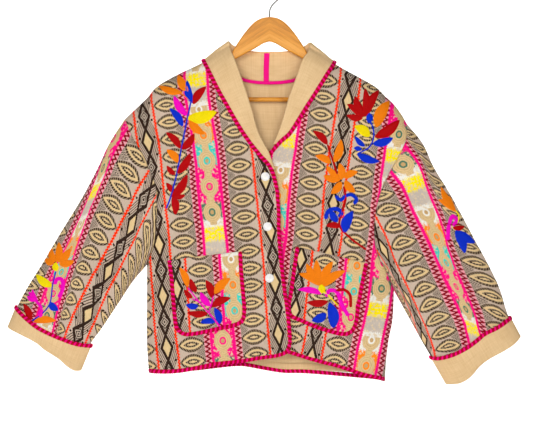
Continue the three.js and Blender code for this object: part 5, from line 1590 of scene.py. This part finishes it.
# %% The sprays
SPRAYS = {
    "shoulder_spray": {
        "on": "front_right",
        "stems": [
            ("blue", 3.2, [(-155, -236), (-165, -284), (-175, -334), (-184, -384), (-198, -436), (-205, -453)]),
            ("orange", 2.2, [(-155, -242), (-171, -228), (-187, -220)]),
        ],
        "leaves": [
            ("blue", -153, -244, -164, -198, 15), ("red", -152, -246, -126, -211, 16),
            ("orange", -159, -222, -183, -186, 17),
            ("orange", -173, -223, -222, -208, 14), ("magenta", -164, -269, -190, -229, 15),
            ("yellow", -163, -275, -105, -261, 24), ("blue", -172, -290, -198, -254, 14),
            ("orange", -160, -278, -129, -306, 16), ("red", -176, -334, -205, -302, 14),
            ("red", -175, -336, -149, -305, 15),
            ("orange", -180, -362, -204, -336, 15), ("red", -184, -384, -157, -344, 16),
            ("red", -187, -386, -204, -368, 10),
            ("red", -194, -431, -163, -386, 17), ("red", -194, -421, -205, -402, 10),
            ("red", -191, -430, -167, -427, 10),
            ("red", -191, -428, -187, -466, 15),
        ],
    },
    "pocket_spray_right": {
        "on": "pocket_right",
        "stems": [
            ("magenta", 3.4, [(-97, -690), (-109, -674), (-121, -659)]),
            ("magenta", 3, [(-121, -660), (-115, -642), (-111, -623)]),
            ("magenta", 3, [(-121, -660), (-143, -634), (-162, -610)]),
            ("magenta", 2.4, [(-129, -648), (-141, -638), (-154, -632)]),
        ],
        "leaves": [
            ("orange", -162, -608, -178, -570, 14), ("red", -145, -619, -157, -592, 12),
            ("red", -153, -631, -169, -614, 10),
            ("magenta", -118, -647, -137, -619, 14), ("red", -113, -631, -126, -595, 15),
            ("orange", -110, -622, -78, -591, 17), ("red", -115, -648, -77, -630, 15),
            ("blue", -141, -647, -166, -644, 12),
            ("red", -122, -661, -163, -659, 13), ("blue", -107, -677, -137, -679, 12),
            ("blue", -98, -682, -109, -650, 14),
        ],
    },
    "shoulder_spray_left": {
        "on": "front_left",
        "stems": [
            ("blue", 3, [(198, -273), (207, -304), (199, -330), (174, -345)]),
            ("red", 4.2, [(115, -326), (125, -356), (134, -386)]),
            ("red", 4.2, [(147, -409), (151, -434), (143, -462), (139, -487), (161, -512), (192, -535)]),
            ("blue", 7, [(131, -428), (141, -436), (151, -428), (163, -426), (173, -436), (167, -444)]),
            ("blue", 8, [(111, -474), (117, -458), (133, -454), (143, -462), (137, -470)]),
        ],
        "leaves": [
            ("red", 188, -271, 190, -214, 16), ("red", 191, -270, 219, -216, 17),
            ("red", 187, -271, 170, -230, 16),
            ("red", 186, -272, 154, -246, 15), ("red", 185, -274, 153, -268, 13),
            ("blue", 198, -284, 196, -262, 13),
            ("orange", 211, -292, 239, -238, 23), ("red", 209, -312, 259, -277, 20),
            ("yellow", 199, -310, 169, -289, 19),
            ("blue", 205, -325, 245, -313, 16), ("blue", 189, -330, 170, -310, 10),
            ("blue", 183, -337, 167, -333, 9),
            ("blue", 174, -345, 218, -360, 15), ("orange", 143, -396, 139, -363, 15),
            ("orange", 147, -392, 175, -380, 14),
            ("orange", 141, -396, 107, -388, 14), ("orange", 143, -400, 122, -424, 15),
            ("orange", 149, -398, 170, -421, 15),
            ("orange", 139, -392, 113, -368, 12), ("red", 115, -326, 87, -299, 14),
            ("orange", 122, -363, 91, -348, 14),
            ("orange", 128, -362, 142, -316, 16), ("blue", 147, -502, 165, -458, 20),
            ("red", 141, -489, 112, -487, 12),
            ("blue", 135, -480, 121, -456, 14),
        ],
    },
    "pocket_spray_left": {
        "on": "pocket_left",
        "stems": [
            ("yellow", 3, [(102, -610), (111, -620), (123, -632), (136, -646)]),
            ("magenta", 8, [(112, -628), (119, -616), (133, -618), (143, -642), (156, -666)]),
            ("red", 6, [(130, -617), (147, -614), (159, -624), (161, -649)]),
        ],
        "leaves": [
            ("orange", 104, -606, 59, -582, 16), ("orange", 103, -606, 73, -562, 17),
            ("orange", 104, -606, 93, -555, 17),
            ("orange", 105, -606, 125, -558, 17), ("orange", 105, -608, 150, -576, 17),
            ("yellow", 104, -622, 101, -602, 14),
            ("magenta", 104, -622, 56, -614, 12), ("red", 116, -638, 74, -639, 14),
            ("blue", 127, -690, 119, -639, 22),
            ("blue", 113, -662, 84, -676, 17),
        ],
    },
    "sleeve_spray_right": {
        "on": "sleeve_right",
        "stems": [
            ("blue", 2.8, [(-425, -578), (-431, -602), (-437, -642), (-450, -660), (-473, -677)]),
            ("magenta", 8, [(-427, -604), (-423, -594), (-413, -594), (-411, -612), (-419, -630)]),
            ("magenta", 6, [(-480, -620), (-467, -634), (-452, -652)]),
        ],
        "leaves": [
            ("orange", -424, -560, -420, -520, 15), ("orange", -427, -560, -439, -530, 14),
            ("orange", -429, -562, -449, -554, 14), ("orange", -421, -560, -396, -533, 16),
            ("orange", -419, -564, -388, -557, 14), ("yellow", -425, -578, -425, -560, 13),
            ("yellow", -432, -608, -466, -585, 16), ("magenta", -465, -636, -484, -628, 10),
            ("magenta", -452, -652, -456, -672, 10), ("magenta", -461, -642, -473, -614, 9),
            ("blue", -438, -640, -420, -656, 14), ("red", -475, -677, -490, -643, 14),
            ("orange", -469, -678, -424, -676, 14),
        ],
    },
    "sleeve_spray_left": {
        "on": "sleeve_left",
        "stems": [
            ("yellow", 3, [(375, -482), (378, -468), (371, -456)]),
            ("magenta", 8, [(355, -516), (357, -488), (365, -468), (373, -476), (365, -488)]),
            ("darkred", 3, [(349, -482), (365, -486), (381, -484)]),
        ],
        "leaves": [
            ("orange", 371, -456, 342, -410, 14), ("orange", 371, -458, 336, -435, 14),
            ("orange", 371, -460, 359, -428, 10),
            ("red", 365, -492, 389, -489, 10), ("blue", 371, -496, 389, -542, 19),
            ("blue", 375, -498, 411, -521, 17),
        ],
    },
}
SEWN_ON = {
    "front_right": fronts[-1], "front_left": fronts[1], "pocket_right": RIGHT["pocket_cloth"],
    "pocket_left": LEFT["pocket_cloth"], "sleeve_right": sleeves[-1], "sleeve_left": sleeves[1],
}
stitched = 0
for name, spray in SPRAYS.items():
    skin = skin_of(SEWN_ON[spray["on"]])
    body = bmesh.new()
    body.loops.layers.uv.new("threads")
    colours = sorted({item[0] for item in spray["stems"] + spray["leaves"]})
    for colour, width, points in spray["stems"]:
        add_stem(body, skin, colours.index(colour), width, points)
    for colour, base_x, base_z, tip_x, tip_z, width in spray["leaves"]:
        add_leaf(body, skin, colours.index(colour), (base_x, base_z), (tip_x, tip_z), width)
    stitched += len(body.faces)
    dress(to_object(name + "_embroidery", body), [],
          [embroidery_threads[colour] for colour in colours])
print(len(SPRAYS), "sprays,", stitched, "faces")

# %% [markdown]
# The jacket hangs before a plain pale wall over a plain pale floor. Two soft lamps in front light it,
# three more shine on the wall alone, and the room adds a little light from all round. The camera
# looks straight at the front from some way off.

# %% Room, light and camera
plain_wall, wall_shader, put = new_finish("plain white wall paint")
rolled = put("TexNoise", put("TexCoord").node.outputs["Object"], Scale=60.0, Detail=3.0)
paint = put("MixRGB", rolled, linear("#fafaf9"), linear("#fefefe"))
relief = put("Bump", Strength=0.05, Distance=0.2 * MM, Height=rolled)
put(wall_shader, Base_Color=paint, Roughness=0.9, Normal=relief)


WALL_Y, FLOOR_Z, ROOM_LIGHT = 1.4, -1.35, 0.12


def stage_plane(name, size, place):
    sheet = bmesh.new()
    bmesh.ops.create_grid(sheet, x_segments=1, y_segments=1, size=size / 2)
    for vertex in sheet.verts:
        vertex.co = place(vertex.co.x, vertex.co.y)
    panel = to_object(name, sheet)
    panel.data.materials.append(plain_wall)


stage_plane("pale_floor", 8.0, lambda x, y: Vector((x, y - 2.6, FLOOR_Z)))
stage_plane("pale_wall", 8.0, lambda x, y: Vector((x, WALL_Y, y + 0.5)))


def soft_lamp(name, place, aim, size, watts):
    lamp = bpy.data.lights.new(name, "AREA")
    lamp.energy, lamp.size = watts, size
    fitting = new_object(name, lamp)
    fitting.location = place
    fitting.rotation_euler = (Vector(aim) - Vector(place)).to_track_quat("-Z", "Y").to_euler()


soft_lamp("key", (-0.8, -3.0, 0.4), (0, 0, -0.45), 1.0, 47)
soft_lamp("fill", (0.6, -3.1, -0.3), (0, 0, -0.45), 1.2, 30)
for name, x, z, watts in (("wall top", 0, 0.95, 22), ("wall left", -1.35, -0.55, 26),
                          ("wall right", 1.35, -0.55, 26)):
    soft_lamp(name, (x, 0.5, z), (x, WALL_Y, z), 1.0, watts)
world = bpy.data.worlds.new("dim room")
world.use_nodes = True
backdrop = world.node_tree.nodes["Background"]
backdrop.inputs["Color"].default_value = (1, 1, 1, 1)
backdrop.inputs["Strength"].default_value = ROOM_LIGHT
bpy.context.scene.world = world
bpy.context.scene.view_settings.view_transform = "Standard"

FRAME_WIDTH, CAMERA_DISTANCE, SENSOR = 1.066, 3.2, 36.0
camera = bpy.data.cameras.new("camera")
camera.sensor_fit, camera.sensor_width = "HORIZONTAL", SENSOR
camera.lens = SENSOR * CAMERA_DISTANCE / FRAME_WIDTH
tripod = new_object("camera", camera)
tripod.location = (-0.006, -CAMERA_DISTANCE, -0.462)
tripod.rotation_euler = (math.radians(90), 0, 0)
bpy.context.scene.camera = tripod
